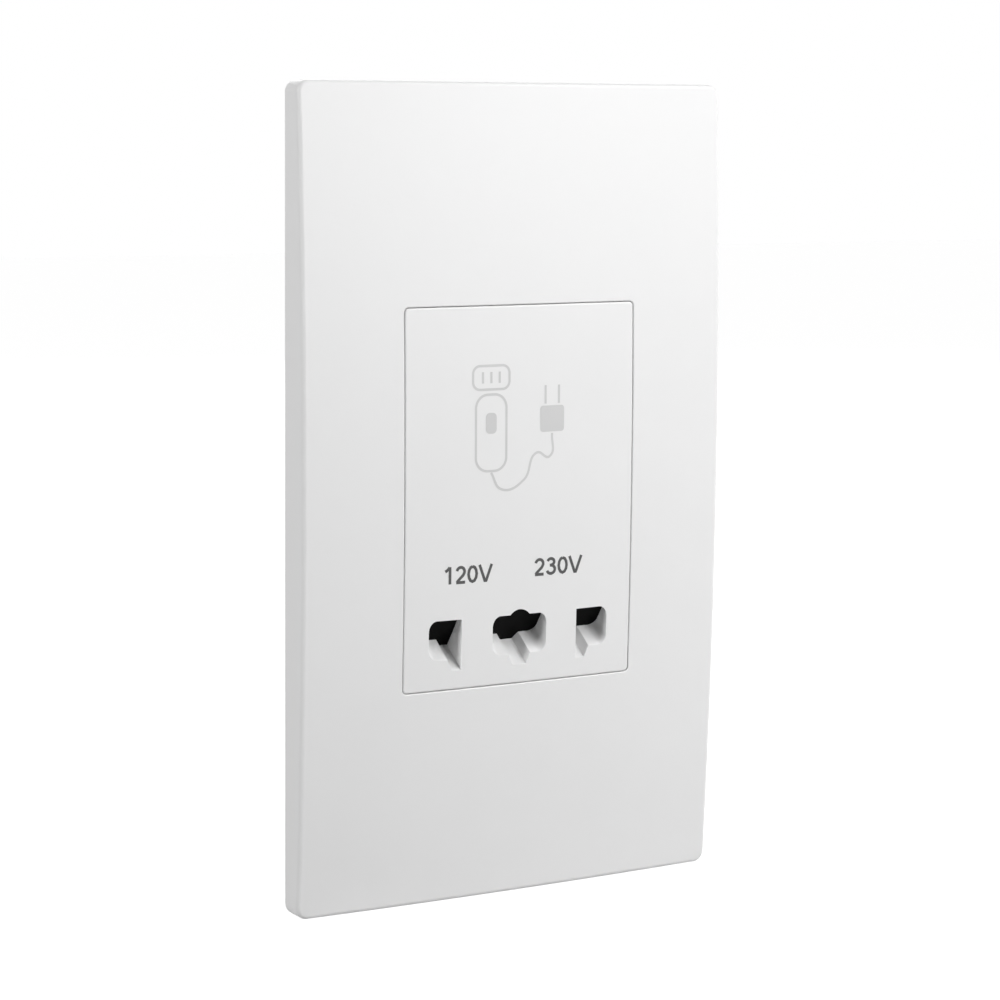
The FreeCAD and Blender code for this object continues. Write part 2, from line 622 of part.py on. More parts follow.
def socket_face():
    """The insert: crowned like the plate, with three inclined sleeves for round pins and blades."""
    crown_front = -FRONT_DEPTH - MARGIN
    body = block_y(FACE_WIDTH, FACE_HEIGHT, FACE_CORNER_RADIUS, crown_front, -FACE_SKIRT_END)
    body = body.common(crowned_space(0))
    body = body.makeFillet(FACE_EDGE_RADIUS, front_edges(body, -FACE_SKIRT_END - FACE_WALL))
    inner_width = FACE_WIDTH - 2 * FACE_SKIRT_WALL
    inner_height = FACE_HEIGHT - 2 * FACE_SKIRT_WALL
    hollow = block_y(inner_width, inner_height, FACE_CORNER_RADIUS / 2, crown_front, MARGIN)
    body = body.cut(hollow.common(crowned_space(FACE_WALL)))
    behind_skin = crowned_space(FACE_WALL / 2)
    reach = FRONT_DEPTH + MARGIN
    sleeves = [in_sleeve_frame(tool).common(behind_skin) for tool in opening_set(SLEEVE_WALL, -reach, 0)]
    bosses = []
    for side in (-1, 1):
        start = V(side * CARRIER_SCREW_X, -FRONT_DEPTH, CARRIER_SCREW_Z)
        bosses.append(rod(CARRIER_BOSS_RADIUS, start, Y_AXIS,
                FRONT_DEPTH - FLANGE_FRONT).common(behind_skin))
    body = body.fuse(sleeves + bosses)
    half = SHUTTER_HALF_WIDTH + SHUTTER_POCKET_GAP
    top = BUMP_RISE + SHUTTER_LUG_MARGIN + SHUTTER_POCKET_GAP
    shutter_space = span_box((-half, half), (0, MARGIN),
            (-SHUTTER_DROP - MARGIN, SHUTTER_TOP + SHUTTER_POCKET_GAP))
    lug_centre = V(0, 0, BUMP_RISE - BUMP_RADIUS)
    lug_space = rod(BUMP_RADIUS + top - BUMP_RISE, lug_centre, Y_AXIS, MARGIN)
    body = body.cut([in_sleeve_frame(shutter_space), in_sleeve_frame(lug_space)])
    body = body.cut([in_sleeve_frame(tool) for tool in opening_set(0, -reach, MARGIN)])
    pilots = []
    for side in (-1, 1):
        start = V(side * CARRIER_SCREW_X, -FLANGE_FRONT, CARRIER_SCREW_Z)
        pilots.append(rod(CARRIER_SCREW_RADIUS + STRIP_GAP, start, -Y_AXIS,
                FRONT_DEPTH - FLANGE_FRONT - FACE_WALL))
    body = body.cut(pilots)
    legs = [face_leg(side, z) for side in (-1, 1) for z in LEG_Z]
    return body.fuse(legs).removeSplitter()


def shutter():
    """The black shutter bar: end studs, spring seats and the cam arm that works the switch."""
    back = SHUTTER_GAP + SHUTTER_THICKNESS
    w = SHUTTER_HALF_WIDTH
    bar = span_box((-w, w), (SHUTTER_GAP, back), (-SHUTTER_DROP, SHUTTER_TOP))
    lug = rod(BUMP_RADIUS + SHUTTER_LUG_MARGIN, V(0, SHUTTER_GAP, BUMP_RISE - BUMP_RADIUS), Y_AXIS,
            SHUTTER_THICKNESS)
    stud_start = V(-CHEEK_OUTER, SHUTTER_MIDDLE, -STUD_DROP)
    studs = rod(STUD_RADIUS, stud_start, X_AXIS, 2 * CHEEK_OUTER)
    studs = studs.cut(span_box((-w, w), (back, MARGIN), (-SHUTTER_DROP, 0)))
    studs = studs.cut(span_box((-w, w), (-MARGIN, SHUTTER_GAP), (-SHUTTER_DROP, 0)))
    bar = in_sleeve_frame(bar.fuse([lug, studs]))
    seats = []
    for side in (-1, 1):
        top = V(side * SPRING_X, 0, 0)
        seats.append(rod(SPRING_SEAT_RADIUS, top, Z_AXIS, SPRING_SEAT_THICKNESS))
        seats.append(rod(SPRING_PEG_RADIUS, top, -Z_AXIS, SPRING_PEG_LENGTH))
    arm = prism_x(
        [
            (-CAM_ARM_BACK, SPRING_SEAT_THICKNESS, 0),
            (-CAM_ARM_BACK, -CAM_ARM_LENGTH, 0),
            (CAM_LOW, -CAM_ARM_LENGTH, 0),
            (CAM_LOW, -PLUNGER_POSITION, 0),
            (CAM_LOW + CAM_RISE, SHUTTER_TRAVEL - PLUNGER_POSITION, 0),
            (CAM_LOW + CAM_RISE, SPRING_SEAT_THICKNESS, 0),
        ],
        -CAM_ARM_HALF_WIDTH,
        CAM_ARM_HALF_WIDTH,
    )
    fittings = [in_slide_frame(piece) for piece in seats + [arm]]
    front_space = in_sleeve_frame(span_box((-w, w), (-MARGIN, SHUTTER_GAP), (-2 * SHUTTER_DROP, MARGIN)))
    return bar.fuse(fittings).cut(front_space).removeSplitter()


def shutter_spring(side):
    """A compression spring along the shutter's guide."""
    pitch = (SPRING_LENGTH - 2 * SPRING_WIRE_RADIUS) / SPRING_TURNS
    helix = Part.makeHelix(pitch, pitch * SPRING_TURNS, SPRING_RADIUS - SPRING_WIRE_RADIUS)
    start = V(SPRING_RADIUS - SPRING_WIRE_RADIUS, 0, 0)
    section = Part.Wire([Part.makeCircle(SPRING_WIRE_RADIUS, start,
            V(0, 1, pitch / (2 * math.pi * start.x)))])
    spring = Part.Wire(helix).makePipeShell([section], True, True)
    spring.translate(V(side * SPRING_X, 0, -SPRING_LENGTH + SPRING_WIRE_RADIUS))
    return in_slide_frame(spring)


def carrier_cheek():
    """One end wall of the carrier, from the contact block down to the spring beam."""
    return [
        (*CHEEK_NOSE, CHEEK_NOSE_RADIUS),
        (CHEEK_NOSE_TOP, CHEEK_TOP, CHEEK_NOSE_RADIUS),
        (CARRIER_FRONT + CHEEK_CORNER_RADIUS, CHEEK_TOP, 0),
        (CARRIER_BACK, -CARRIER_BOTTOM, CHEEK_CORNER_RADIUS),
        (*CHEEK_TAIL_BACK, CHEEK_CORNER_RADIUS),
        (*CHEEK_TAIL_END, CHEEK_CORNER_RADIUS),
        (*CHEEK_TAIL_FRONT, CHEEK_CORNER_RADIUS),
    ]


def guide_slot(x0, x1):
    """The oblique slot that a shutter stud runs in."""
    radius = STUD_RADIUS + STUD_GAP
    run = V(0, math.sin(math.radians(GUIDE_ANGLE)), -math.cos(math.radians(GUIDE_ANGLE)))
    start = V(x0, SHUTTER_MIDDLE, -STUD_DROP)
    end = start + run * SHUTTER_TRAVEL
    across = V(0, run.z, -run.y) * radius
    ring = Part.makePolygon([start + across, start - across, end - across, end + across, start + across])
    slot = Part.Face(ring).extrude(V(x1 - x0, 0, 0))
    return slot.fuse([rod(radius, start, X_AXIS, x1 - x0),
            rod(radius, end, X_AXIS, x1 - x0)]).removeSplitter()


def switch_pegs(radius, x0, x1):
    """The two pegs through the switch, in guide coordinates."""
    middle = -SWITCH_START - SWITCH_LENGTH / 2
    height = SWITCH_BASE + SWITCH_PEG_HEIGHT
    return [rod(radius, V(x0, height, middle + sign * SWITCH_PEG_SPREAD), X_AXIS,
            x1 - x0) for sign in (-1, 1)]


def contact_carrier():
    """The moulded block with the pin tunnels, guide cheeks, spring beam and switch rib."""
    block = span_box((-CHEEK_OUTER, CHEEK_OUTER), (CARRIER_FRONT, CARRIER_BACK),
            (-CARRIER_BOTTOM, CARRIER_TOP))
    for tool in opening_set(TUNNEL_GAP, CARRIER_FRONT - MARGIN, CARRIER_BACK - TUNNEL_FLOOR):
        block = block.cut(tool)
    for x, width in contact_places():
        half = width / 2 + STRIP_GAP
        tag_half = CONTACT_TAG_WIDTH / 2 + STRIP_GAP
        seat = (TUNNEL_GAP, TUNNEL_GAP + STRIP + STRIP_GAP)
        block = block.cut(span_box((x - half, x + half), (CARRIER_FRONT, CARRIER_BACK - TUNNEL_FLOOR),
                seat))
        block = block.cut(span_box((x - tag_half, x + tag_half), (CARRIER_FRONT, CARRIER_BACK + MARGIN),
                seat))
    cheeks = []
    for x0 in (-CHEEK_OUTER, CHEEK_INNER):
        cheeks.append(prism_x(carrier_cheek(), x0, x0 + CHEEK_THICKNESS))
    block = in_sleeve_frame(block.fuse(cheeks).cut(guide_slot(-CHEEK_OUTER - MARGIN, CHEEK_OUTER + MARGIN)))
    beam_top = -SPRING_LENGTH - SPRING_WIRE_RADIUS
    beam = span_box((-CHEEK_OUTER, CHEEK_OUTER), (-BEAM_HALF_DEPTH, BEAM_HALF_DEPTH),
            (beam_top - BEAM_THICKNESS, beam_top))
    arm_gap = CAM_ARM_HALF_WIDTH + CHEEK_GAP
    beam = beam.cut(span_box((-arm_gap, arm_gap), (-CAM_ARM_BACK - CHEEK_GAP, MARGIN),
            (beam_top - MARGIN, MARGIN)))
    pegs = [rod(SPRING_PEG_RADIUS, V(side * SPRING_X, 0, beam_top), Z_AXIS,
            SPRING_PEG_LENGTH) for side in (-1, 1)]
    rib_x0 = SWITCH_HALF_THICKNESS + STRIP_GAP
    rib_x1 = rib_x0 + SWITCH_RIB_THICKNESS
    rib_end = -SWITCH_START - SWITCH_LENGTH
    rib = span_box((rib_x0, rib_x1), (-BEAM_HALF_DEPTH, SWITCH_BASE + SWITCH_HEIGHT),
            (rib_end, -SWITCH_START + CHEEK_CORNER_RADIUS))
    rib = in_slide_frame(rib.cut(span_box((rib_x0, rib_x1), (-MARGIN, CAM_LOW + CAM_RISE),
            (beam_top, MARGIN))))
    swept_end = -SHUTTER_DROP - SHUTTER_TRAVEL
    rib = rib.cut(in_sleeve_frame(span_box((0, 2 * rib_x1), (-MARGIN, CARRIER_FRONT), (swept_end, MARGIN))))
    pegs += switch_pegs(SWITCH_PEG_RADIUS, -SWITCH_HALF_THICKNESS, rib_x0)
    fittings = [rib] + [in_slide_frame(piece) for piece in [beam] + pegs]
    flange_back = -FLANGE_FRONT + FLANGE_THICKNESS
    foot_z = SHUTTER_ORIGIN.z + CARRIER_FRONT * math.sin(math.radians(SLEEVE_TILT))
    flange = span_box((-CHEEK_OUTER, CHEEK_OUTER), (-FLANGE_FRONT, flange_back), (foot_z, FLANGE_TOP_Z))
    in_front = in_sleeve_frame(span_box((-2 * CHEEK_OUTER, 2 * CHEEK_OUTER), (-MARGIN, CARRIER_FRONT),
            (-MARGIN, 4 * MARGIN)))
    flange = flange.cut(in_front)
    skin = span_box((-2 * CHEEK_OUTER, 2 * CHEEK_OUTER), (-2 * FRONT_DEPTH, -FLANGE_FRONT),
            (-FACE_HEIGHT, FACE_HEIGHT))
    carrier = block.fuse(fittings + [flange]).cut(skin)
    holes = []
    for side in (-1, 1):
        start = V(side * CARRIER_SCREW_X, -FRONT_DEPTH, CARRIER_SCREW_Z)
        holes.append(rod(CARRIER_SCREW_RADIUS + STUD_GAP, start, Y_AXIS, 2 * FRONT_DEPTH))
    return carrier.cut(holes).removeSplitter()


def screw(place, direction, head_radius, head_height, radius, length):
    """A pan head screw with a cross slot: place is under the head, direction points to its tip."""
    head = rod(head_radius, place - direction * head_height, direction, head_height)
    outer = place - direction * head_height
    crown = [edge for edge in head.Edges if (edge.CenterOfMass - outer).Length < head_height / 2]
    head = head.makeFillet(head_height / 3, crown)
    shank = rod(radius, place, direction, length)
    body = head.fuse(shank)
    across = direction.cross(Z_AXIS if abs(direction.z) < 0.5 else X_AXIS)
    other = direction.cross(across)
    for long, short in ((across, other), (other, across)):
        a = long * (head_radius * CROSS_SLOT)
        b = short * (CROSS_SLOT / 2)
        points = [outer - a - b, outer + a - b, outer + a + b, outer - a + b, outer - a - b]
        body = body.cut(Part.Face(Part.makePolygon(points)).extrude(direction * (head_height / 2)))
    return body.removeSplitter()


def carrier_screws():
    """Two screws that hold the carrier to the bosses of the socket face."""
    screws = []
    for side in (-1, 1):
        place = V(side * CARRIER_SCREW_X, -FLANGE_FRONT + FLANGE_THICKNESS, CARRIER_SCREW_Z)
        reach = FLANGE_THICKNESS + FRONT_DEPTH - FLANGE_FRONT - FACE_WALL - STRIP
        screws.append(screw(place, -Y_AXIS, 2 * CARRIER_SCREW_RADIUS, SCREW_HEAD_HEIGHT,
                CARRIER_SCREW_RADIUS, reach))
    return Part.Compound(screws)


def contact_places():
    """The middle and width of each contact, from left to right."""
    outer = OUTER_OPENING_INNER_X + OUTER_OPENING_WIDTH / 2
    return [(-outer, CONTACT_WIDTH), (0.0, COMMON_WIDTH), (outer, CONTACT_WIDTH)]


def strip_profile(points, thickness, radius):
    """The outline of a folded strip along a centre line, with its bends as arcs."""
    left = []
    right = []
    for i, point in enumerate(points):
        here = V(point[0], point[1], 0)
        before = V(*points[max(i - 1, 0)], 0)
        after = V(*points[min(i + 1, len(points) - 1)], 0)
        into = (here - before).normalize() if i > 0 else (after - here).normalize()
        out = (after - here).normalize() if i < len(points) - 1 else into
        normal = V(-into.y - out.y, into.x + out.x, 0).normalize()
        stretch = thickness / 2 / normal.dot(V(-into.y, into.x, 0))
        turn = into.x * out.y - into.y * out.x
        inside = 0.0 if abs(turn) < 1e-6 else radius
        outside = 0.0 if abs(turn) < 1e-6 else radius + thickness
        near = here + normal * stretch
        far = here - normal * stretch
        left.append((near.x, near.y, inside if turn > 0 else outside))
        right.append((far.x, far.y, inside if turn < 0 else outside))
    return left + right[::-1]


def contact(x, width):
    """One brass contact: a tag through the block's back, a seat on the tunnel's roof and a sprung leaf."""
    roof = TUNNEL_GAP + STRIP / 2
    mouth = CARRIER_FRONT + CONTACT_LEAD_IN
    wall = CARRIER_BACK - TUNNEL_FLOOR
    leaf = [
        (wall - STRIP_GAP, roof),
        (mouth, roof),
        (mouth + CONTACT_NOSE[0], roof - CONTACT_NOSE[1]),
        (mouth + CONTACT_LEAF_RUN, roof - CONTACT_SPRING_DROP),
        (wall - CONTACT_LEAF_END_GAP, roof - CONTACT_SPRING_DROP / 2),
    ]
    body = prism_x(strip_profile(leaf, STRIP, BEND_RADIUS / 2), x - width / 2, x + width / 2)
    tag_x = (x - CONTACT_TAG_WIDTH / 2, x + CONTACT_TAG_WIDTH / 2)
    tag_z = (roof - STRIP / 2, roof + STRIP / 2)
    tag_end = CARRIER_BACK + CONTACT_TAG_LENGTH
    tag = span_box(tag_x, (wall - CONTACT_TAG_ROOT, tag_end), tag_z)
    eye = rod(CONTACT_EYE_RADIUS, V(x, tag_end - CONTACT_EYE_INSET, -MARGIN), Z_AXIS, 3 * MARGIN)
    return in_sleeve_frame(body.fuse(tag).cut(eye).removeSplitter())


def switch_body():
    """The snap switch that the shutter works, with its two tags."""
    y0 = SWITCH_BASE
    z0 = -SWITCH_START - SWITCH_LENGTH
    corners = [
        (y0, z0, SWITCH_CORNER_RADIUS),
        (y0 + SWITCH_HEIGHT, z0, SWITCH_CORNER_RADIUS),
        (y0 + SWITCH_HEIGHT, z0 + SWITCH_LENGTH, SWITCH_CORNER_RADIUS),
        (y0, z0 + SWITCH_LENGTH, SWITCH_CORNER_RADIUS),
    ]
    body = prism_x(corners, -SWITCH_HALF_THICKNESS, SWITCH_HALF_THICKNESS)
    body = body.cut(switch_pegs(SWITCH_PEG_RADIUS + STUD_GAP, -MARGIN, MARGIN))
    bore_length = MARGIN + PLUNGER_DEPTH + CAM_RISE + PLUNGER_END_ROOM
    body = body.cut(rod(PLUNGER_RADIUS + PLUNGER_GAP, V(0, y0 - MARGIN, -PLUNGER_POSITION), Y_AXIS,
            bore_length))
    tags = []
    for z in (z0 + SWITCH_LENGTH / 3, z0 + SWITCH_LENGTH * 2 / 3):
        y1 = y0 + SWITCH_HEIGHT
        tag_z = (z - SWITCH_TAG_THICKNESS / 2, z + SWITCH_TAG_THICKNESS / 2)
        tags.append(span_box((-SWITCH_TAG / 2, SWITCH_TAG / 2), (y1 - SWITCH_TAG_ROOT, y1 + SWITCH_TAG),
                tag_z))
    return in_slide_frame(body.fuse(tags).removeSplitter())


def switch_plunger():
    """The switch's plunger, with a round nose on the shutter's cam arm."""
    centre = V(0, CAM_LOW + CAM_GAP + PLUNGER_RADIUS, -PLUNGER_POSITION)
    stem = rod(PLUNGER_RADIUS, centre, Y_AXIS, SWITCH_BASE + PLUNGER_DEPTH - centre.y)
    return in_slide_frame(stem.fuse(Part.makeSphere(PLUNGER_RADIUS, centre)).removeSplitter())


def transformer_core():
    """The stacked core: two windows, four corner holes and rounded lamination corners."""
    centre = (0.0, CORE_CENTRE_Z)
    core = block_y(CORE_WIDTH, CORE_HEIGHT, CORE_CORNER_RADIUS, CORE_FRONT, CORE_BACK, centre)
    for side in (-1, 1):
        middle = (side * (CORE_LEG + WINDOW_WIDTH) / 2, CORE_CENTRE_Z)
        core = core.cut(block_y(WINDOW_WIDTH, WINDOW_HEIGHT, 0, CORE_FRONT - MARGIN, CORE_BACK + MARGIN,
                middle))
    holes = [rod(CORE_HOLE_RADIUS, place + V(0, CORE_FRONT - MARGIN, 0), Y_AXIS, CORE_STACK + 2 * MARGIN)
             for place in core_screw_places()]
    return core.cut(holes)


def core_screw_places():
    """The four screws through the core's corners."""
    return [V(sx * CORE_HOLE_X, 0, CORE_CENTRE_Z + sz * CORE_HOLE_Z) for sx in (-1, 1) for sz in (-1, 1)]


def core_screws():
    """Four long screws that clamp the core to the housing's bosses."""
    screws = []
    for place in core_screw_places():
        under_head = place + V(0, CORE_FRONT, 0)
        screws.append(screw(under_head, Y_AXIS, SCREW_HEAD_RADIUS, SCREW_HEAD_HEIGHT, SCREW_RADIUS,
                            CORE_STACK + CORE_SCREW_BITE))
    return Part.Compound(screws)


def ring_block(half_x, half_y, radius, z0, z1):
    """A rounded block round the core's middle leg, from z0 to z1."""
    corners = rounded_rectangle(2 * half_x, 2 * half_y, radius, (0.0, CORE_CENTRE_Y))
    wire = rounded_wire(corners, lambda p: V(p.x, p.y, z0))
    return Part.Face(wire).extrude(V(0, 0, z1 - z0))


def chamber_levels():
    """The two winding spaces of the bobbin, from the bottom up."""
    bottom = BOBBIN_BOTTOM + BOBBIN_WALL
    top = BOBBIN_BOTTOM + BOBBIN_HEIGHT - BOBBIN_WALL
    room = top - bottom - BOBBIN_WALL
    split = bottom + room * PRIMARY_SHARE
    return (bottom, split), (split + BOBBIN_WALL, top)


def pin_ledge_y():
    """How far the pin ledge reaches from the bobbin's front edge towards the core."""
    front = CORE_CENTRE_Y - COIL_HALF_Y
    return (front, front + PIN_LEDGE_DEPTH)


def bobbin():
    """The divided bobbin, with a pin ledge under the front of its lower flange."""
    tube_x = CORE_LEG / 2 + BOBBIN_GAP + BOBBIN_WALL
    tube_y = CORE_STACK / 2 + BOBBIN_GAP + BOBBIN_WALL
    top = BOBBIN_BOTTOM + BOBBIN_HEIGHT
    shape = ring_block(tube_x, tube_y, BOBBIN_WALL, BOBBIN_BOTTOM, top)
    primary, secondary = chamber_levels()
    for z in (BOBBIN_BOTTOM, primary[1], secondary[1]):
        shape = shape.fuse(ring_block(COIL_HALF_X, COIL_HALF_Y, BOBBIN_WALL, z, z + BOBBIN_WALL))
    ledge_x = COIL_HALF_X - BOBBIN_WALL
    ledge_z = (BOBBIN_BOTTOM - PIN_LEDGE_DROP, BOBBIN_BOTTOM + BOBBIN_WALL)
    shape = shape.fuse(span_box((-ledge_x, ledge_x), pin_ledge_y(), ledge_z))
    hole_x = CORE_LEG / 2 + BOBBIN_GAP
    hole_y = CORE_STACK / 2 + BOBBIN_GAP
    shape = shape.cut(ring_block(hole_x, hole_y, 0, BOBBIN_BOTTOM - MARGIN, top + MARGIN))
    pin_holes = [rod(PIN_RADIUS + PIN_GAP, pin_top(x), -Z_AXIS, 2 * PIN_LENGTH)
                 for x in PRIMARY_PIN_X + SECONDARY_PIN_X]
    return shape.cut(pin_holes).removeSplitter()


def pin_top(x):
    """The buried end of a bobbin pin."""
    middle = sum(pin_ledge_y()) / 2
    return V(x, middle, BOBBIN_BOTTOM - PIN_LEDGE_DROP + PIN_ROOT)


def bobbin_pins():
    """The round pins that the windings and leads are soldered to."""
    length = PIN_ROOT + PIN_LENGTH
    return Part.Compound([rod(PIN_RADIUS, pin_top(x), -Z_AXIS,
            length) for x in PRIMARY_PIN_X + SECONDARY_PIN_X])


def winding(levels):
    """One winding, with the crowned corners of wire wound round a square bobbin."""
    inner_x = CORE_LEG / 2 + BOBBIN_GAP + BOBBIN_WALL
    inner_y = CORE_STACK / 2 + BOBBIN_GAP + BOBBIN_WALL
    outer_x = COIL_HALF_X - WINDING_SETBACK - TAPE
    outer_y = COIL_HALF_Y - WINDING_SETBACK - TAPE
    coil = ring_block(outer_x, outer_y, WINDING_CORNER_RADIUS, *levels)
    return coil.cut(ring_block(inner_x, inner_y, BOBBIN_WALL, *levels))


def winding_tape(levels):
    """The tape round one winding."""
    outer_x = COIL_HALF_X - WINDING_SETBACK
    outer_y = COIL_HALF_Y - WINDING_SETBACK
    tape = ring_block(outer_x, outer_y, WINDING_CORNER_RADIUS + TAPE, *levels)
    return tape.cut(ring_block(outer_x - TAPE, outer_y - TAPE, WINDING_CORNER_RADIUS, *levels))


def thermal_cutout():
    """The thermal cut-out on the front of the core's lower yoke, with two tags."""
    middle = (CUTOUT_X, CORE_BOTTOM + CORE_YOKE / 2)
    body = block_y(CUTOUT_WIDTH, CUTOUT_HEIGHT, CUTOUT_RADIUS, CORE_FRONT - CUTOUT_DEPTH, CORE_FRONT,
            middle)
    tags = []
    for side in (-1, 1):
        x = CUTOUT_X + side * CUTOUT_WIDTH / 4
        y = CORE_FRONT - CUTOUT_DEPTH / 2
        tag_x = (x - CUTOUT_TAG / 2, x + CUTOUT_TAG / 2)
        tag_z = (middle[1] - CUTOUT_HEIGHT / 2 - CUTOUT_TAG, middle[1])
        tags.append(span_box(tag_x, (y - STRIP / 2, y + STRIP / 2), tag_z))
    return body.fuse(tags).removeSplitter()


def terminal_x(index):
    """The middle of one terminal, counted from the left as seen from the front."""
    return (index - 1) * TERMINAL_PITCH


def terminal(index):
    """A brass pillar terminal: a wire bore from below and a screw hole from behind."""
    x = terminal_x(index)
    half = TERMINAL_WIDTH / 2
    block = span_box((x - half, x + half), (TERMINAL_FRONT, TERMINAL_BACK), (TERMINAL_BOTTOM, TERMINAL_TOP))
    block = block.makeFillet(SWITCH_CORNER_RADIUS, block.Edges)
    bore = rod(TERMINAL_BORE_RADIUS, V(x, TERMINAL_BORE_Y, TERMINAL_BOTTOM - MARGIN), Z_AXIS,
            TERMINAL_HEIGHT + 2 * MARGIN)
    middle_z = (TERMINAL_BOTTOM + TERMINAL_TOP) / 2
    hole = rod(TERMINAL_SCREW_RADIUS, V(x, TERMINAL_BORE_Y, middle_z), Y_AXIS, TERMINAL_DEPTH)
    return block.cut([bore, hole])


def terminal_block():
    """The moulding that holds the three terminals, open below and behind them."""
    front = TERMINAL_FRONT - TERMINAL_CELL_GAP - TERMINAL_BLOCK_WALL
    bottom = TERMINAL_BOTTOM - TERMINAL_SEAT
    top = TERMINAL_TOP + TERMINAL_CELL_GAP + TERMINAL_BLOCK_WALL
    back = HOUSING_INNER_BACK
    body = prism_x(
        [(front, bottom, 0), (back, bottom, 0), (back, top, 0), (front, top, 2 * SWITCH_CORNER_RADIUS)],
        -BLOCK_HALF_WIDTH, BLOCK_HALF_WIDTH
    )
    cells = []
    for index in range(3):
        x = terminal_x(index)
        half = TERMINAL_WIDTH / 2 + TERMINAL_CELL_GAP
        y = (TERMINAL_FRONT - TERMINAL_CELL_GAP, TERMINAL_BACK + TERMINAL_CELL_GAP)
        z = (TERMINAL_BOTTOM, TERMINAL_TOP + TERMINAL_CELL_GAP)
        cells.append(span_box((x - half, x + half), y, z))
        wire_way = V(x, TERMINAL_BORE_Y, bottom - MARGIN)
        cells.append(rod(TERMINAL_BORE_RADIUS, wire_way, Z_AXIS, 2 * MARGIN))
        driver_way = V(x, TERMINAL_BACK, (TERMINAL_BOTTOM + TERMINAL_TOP) / 2)
        cells.append(rod(DRIVER_RADIUS, driver_way, Y_AXIS, TERMINAL_BACK_GAP + MARGIN))
        if TERMINAL_NAMES[index] != "terminal_earth":
            tail, tail_out = terminal_tail(index)
            cells.append(rod(LEAD_RADIUS + LEAD_WAY_GAP, tail_out, Y_AXIS, (tail - tail_out).Length))
    return body.cut(cells).removeSplitter()


def terminal_screws():
    """The three terminal screws, backed off so that the wire bores are free."""
    screws = []
    radius = TERMINAL_SCREW_RADIUS - TERMINAL_SCREW_GAP
    tip = TERMINAL_BORE_Y + TERMINAL_BORE_RADIUS + TERMINAL_BACKED_OFF
    under_head = TERMINAL_BACK + TERMINAL_BACKED_OFF
    for index in range(3):
        place = V(terminal_x(index), under_head, (TERMINAL_BOTTOM + TERMINAL_TOP) / 2)
        screws.append(screw(place, -Y_AXIS, TERMINAL_HEAD_RADIUS, TERMINAL_HEAD_HEIGHT, radius,
                under_head - tip))
    return Part.Compound(screws)


def lead_path(points):
    """A lead's route: straight runs joined by arcs as large as the shorter run allows."""
    edges = []
    at = points[0]
    for before, here, after in zip(points, points[1:], points[2:]):
        back = (before - here).normalize()
        ahead = (after - here).normalize()
        half = back.getAngle(ahead) / 2
        reach = LEAD_BEND_SHARE * min((before - here).Length, (after - here).Length)
        radius = reach * math.tan(half)
        middle = here + (back + ahead).normalize() * (radius / math.sin(half) - radius)
        edges.append(Part.makeLine(at, here + back * reach))
        edges.append(Part.Arc(here + back * reach, middle, here + ahead * reach).toShape())
        at = here + ahead * reach
    edges.append(Part.makeLine(at, points[-1]))
    return Part.Wire(edges)


def lead(points):
    """One insulated lead between two tags, pins or terminals."""
    path = lead_path(points)
    section = Part.Wire([Part.makeCircle(LEAD_RADIUS, points[0], points[1] - points[0])])
    return path.makePipeShell([section], True, False)


def contact_tag_end(index):
    """Where the lead of one contact starts, and a point straight out from there."""
    x = contact_places()[index][0]
    along = V(0, math.cos(math.radians(SLEEVE_TILT)), math.sin(math.radians(SLEEVE_TILT)))
    up = V(0, -along.z, along.y)
    end = SHUTTER_ORIGIN + along * (CARRIER_BACK + CONTACT_TAG_LENGTH) + up * (TUNNEL_GAP + STRIP / 2)
    return V(x, end.y, end.z), V(x, end.y, end.z) + along * (LEAD_RADIUS * 6)


def switch_tag_end(share):
    """Where the lead of one switch tag starts, and a point straight out from there."""
    z = -SWITCH_START - SWITCH_LENGTH * (1 - share)
    marks = []
    for lift in (0, LEAD_RADIUS * 6):
        marks.append(in_slide_frame(Part.Vertex(0, SWITCH_BASE + SWITCH_HEIGHT + SWITCH_TAG + lift,
                z)).Point)
    return marks


def pin_end(x):
    """The free end of a bobbin pin, and a point straight down from there."""
    end = pin_top(x) - Z_AXIS * (PIN_ROOT + PIN_LENGTH)
    return end, end - Z_AXIS * (LEAD_RADIUS * 7)


def cutout_tag_end(side):
    """The end of a tag of the thermal cut-out, and a point straight down from there."""
    z = CORE_BOTTOM + CORE_YOKE / 2 - CUTOUT_HEIGHT / 2 - CUTOUT_TAG
    end = V(CUTOUT_X + side * CUTOUT_WIDTH / 4, CORE_FRONT - CUTOUT_DEPTH / 2, z)
    return end, end - Z_AXIS * (LEAD_RADIUS * 5)


def terminal_tail(index):
    """Where the inner lead meets a terminal's front, and a point straight out from there."""
    end = V(terminal_x(index), TERMINAL_FRONT, TERMINAL_BOTTOM + TERMINAL_HEIGHT / 2 + LEAD_TERMINAL_RISE)
    return end, end - Y_AXIS * (LEAD_RADIUS * 9)


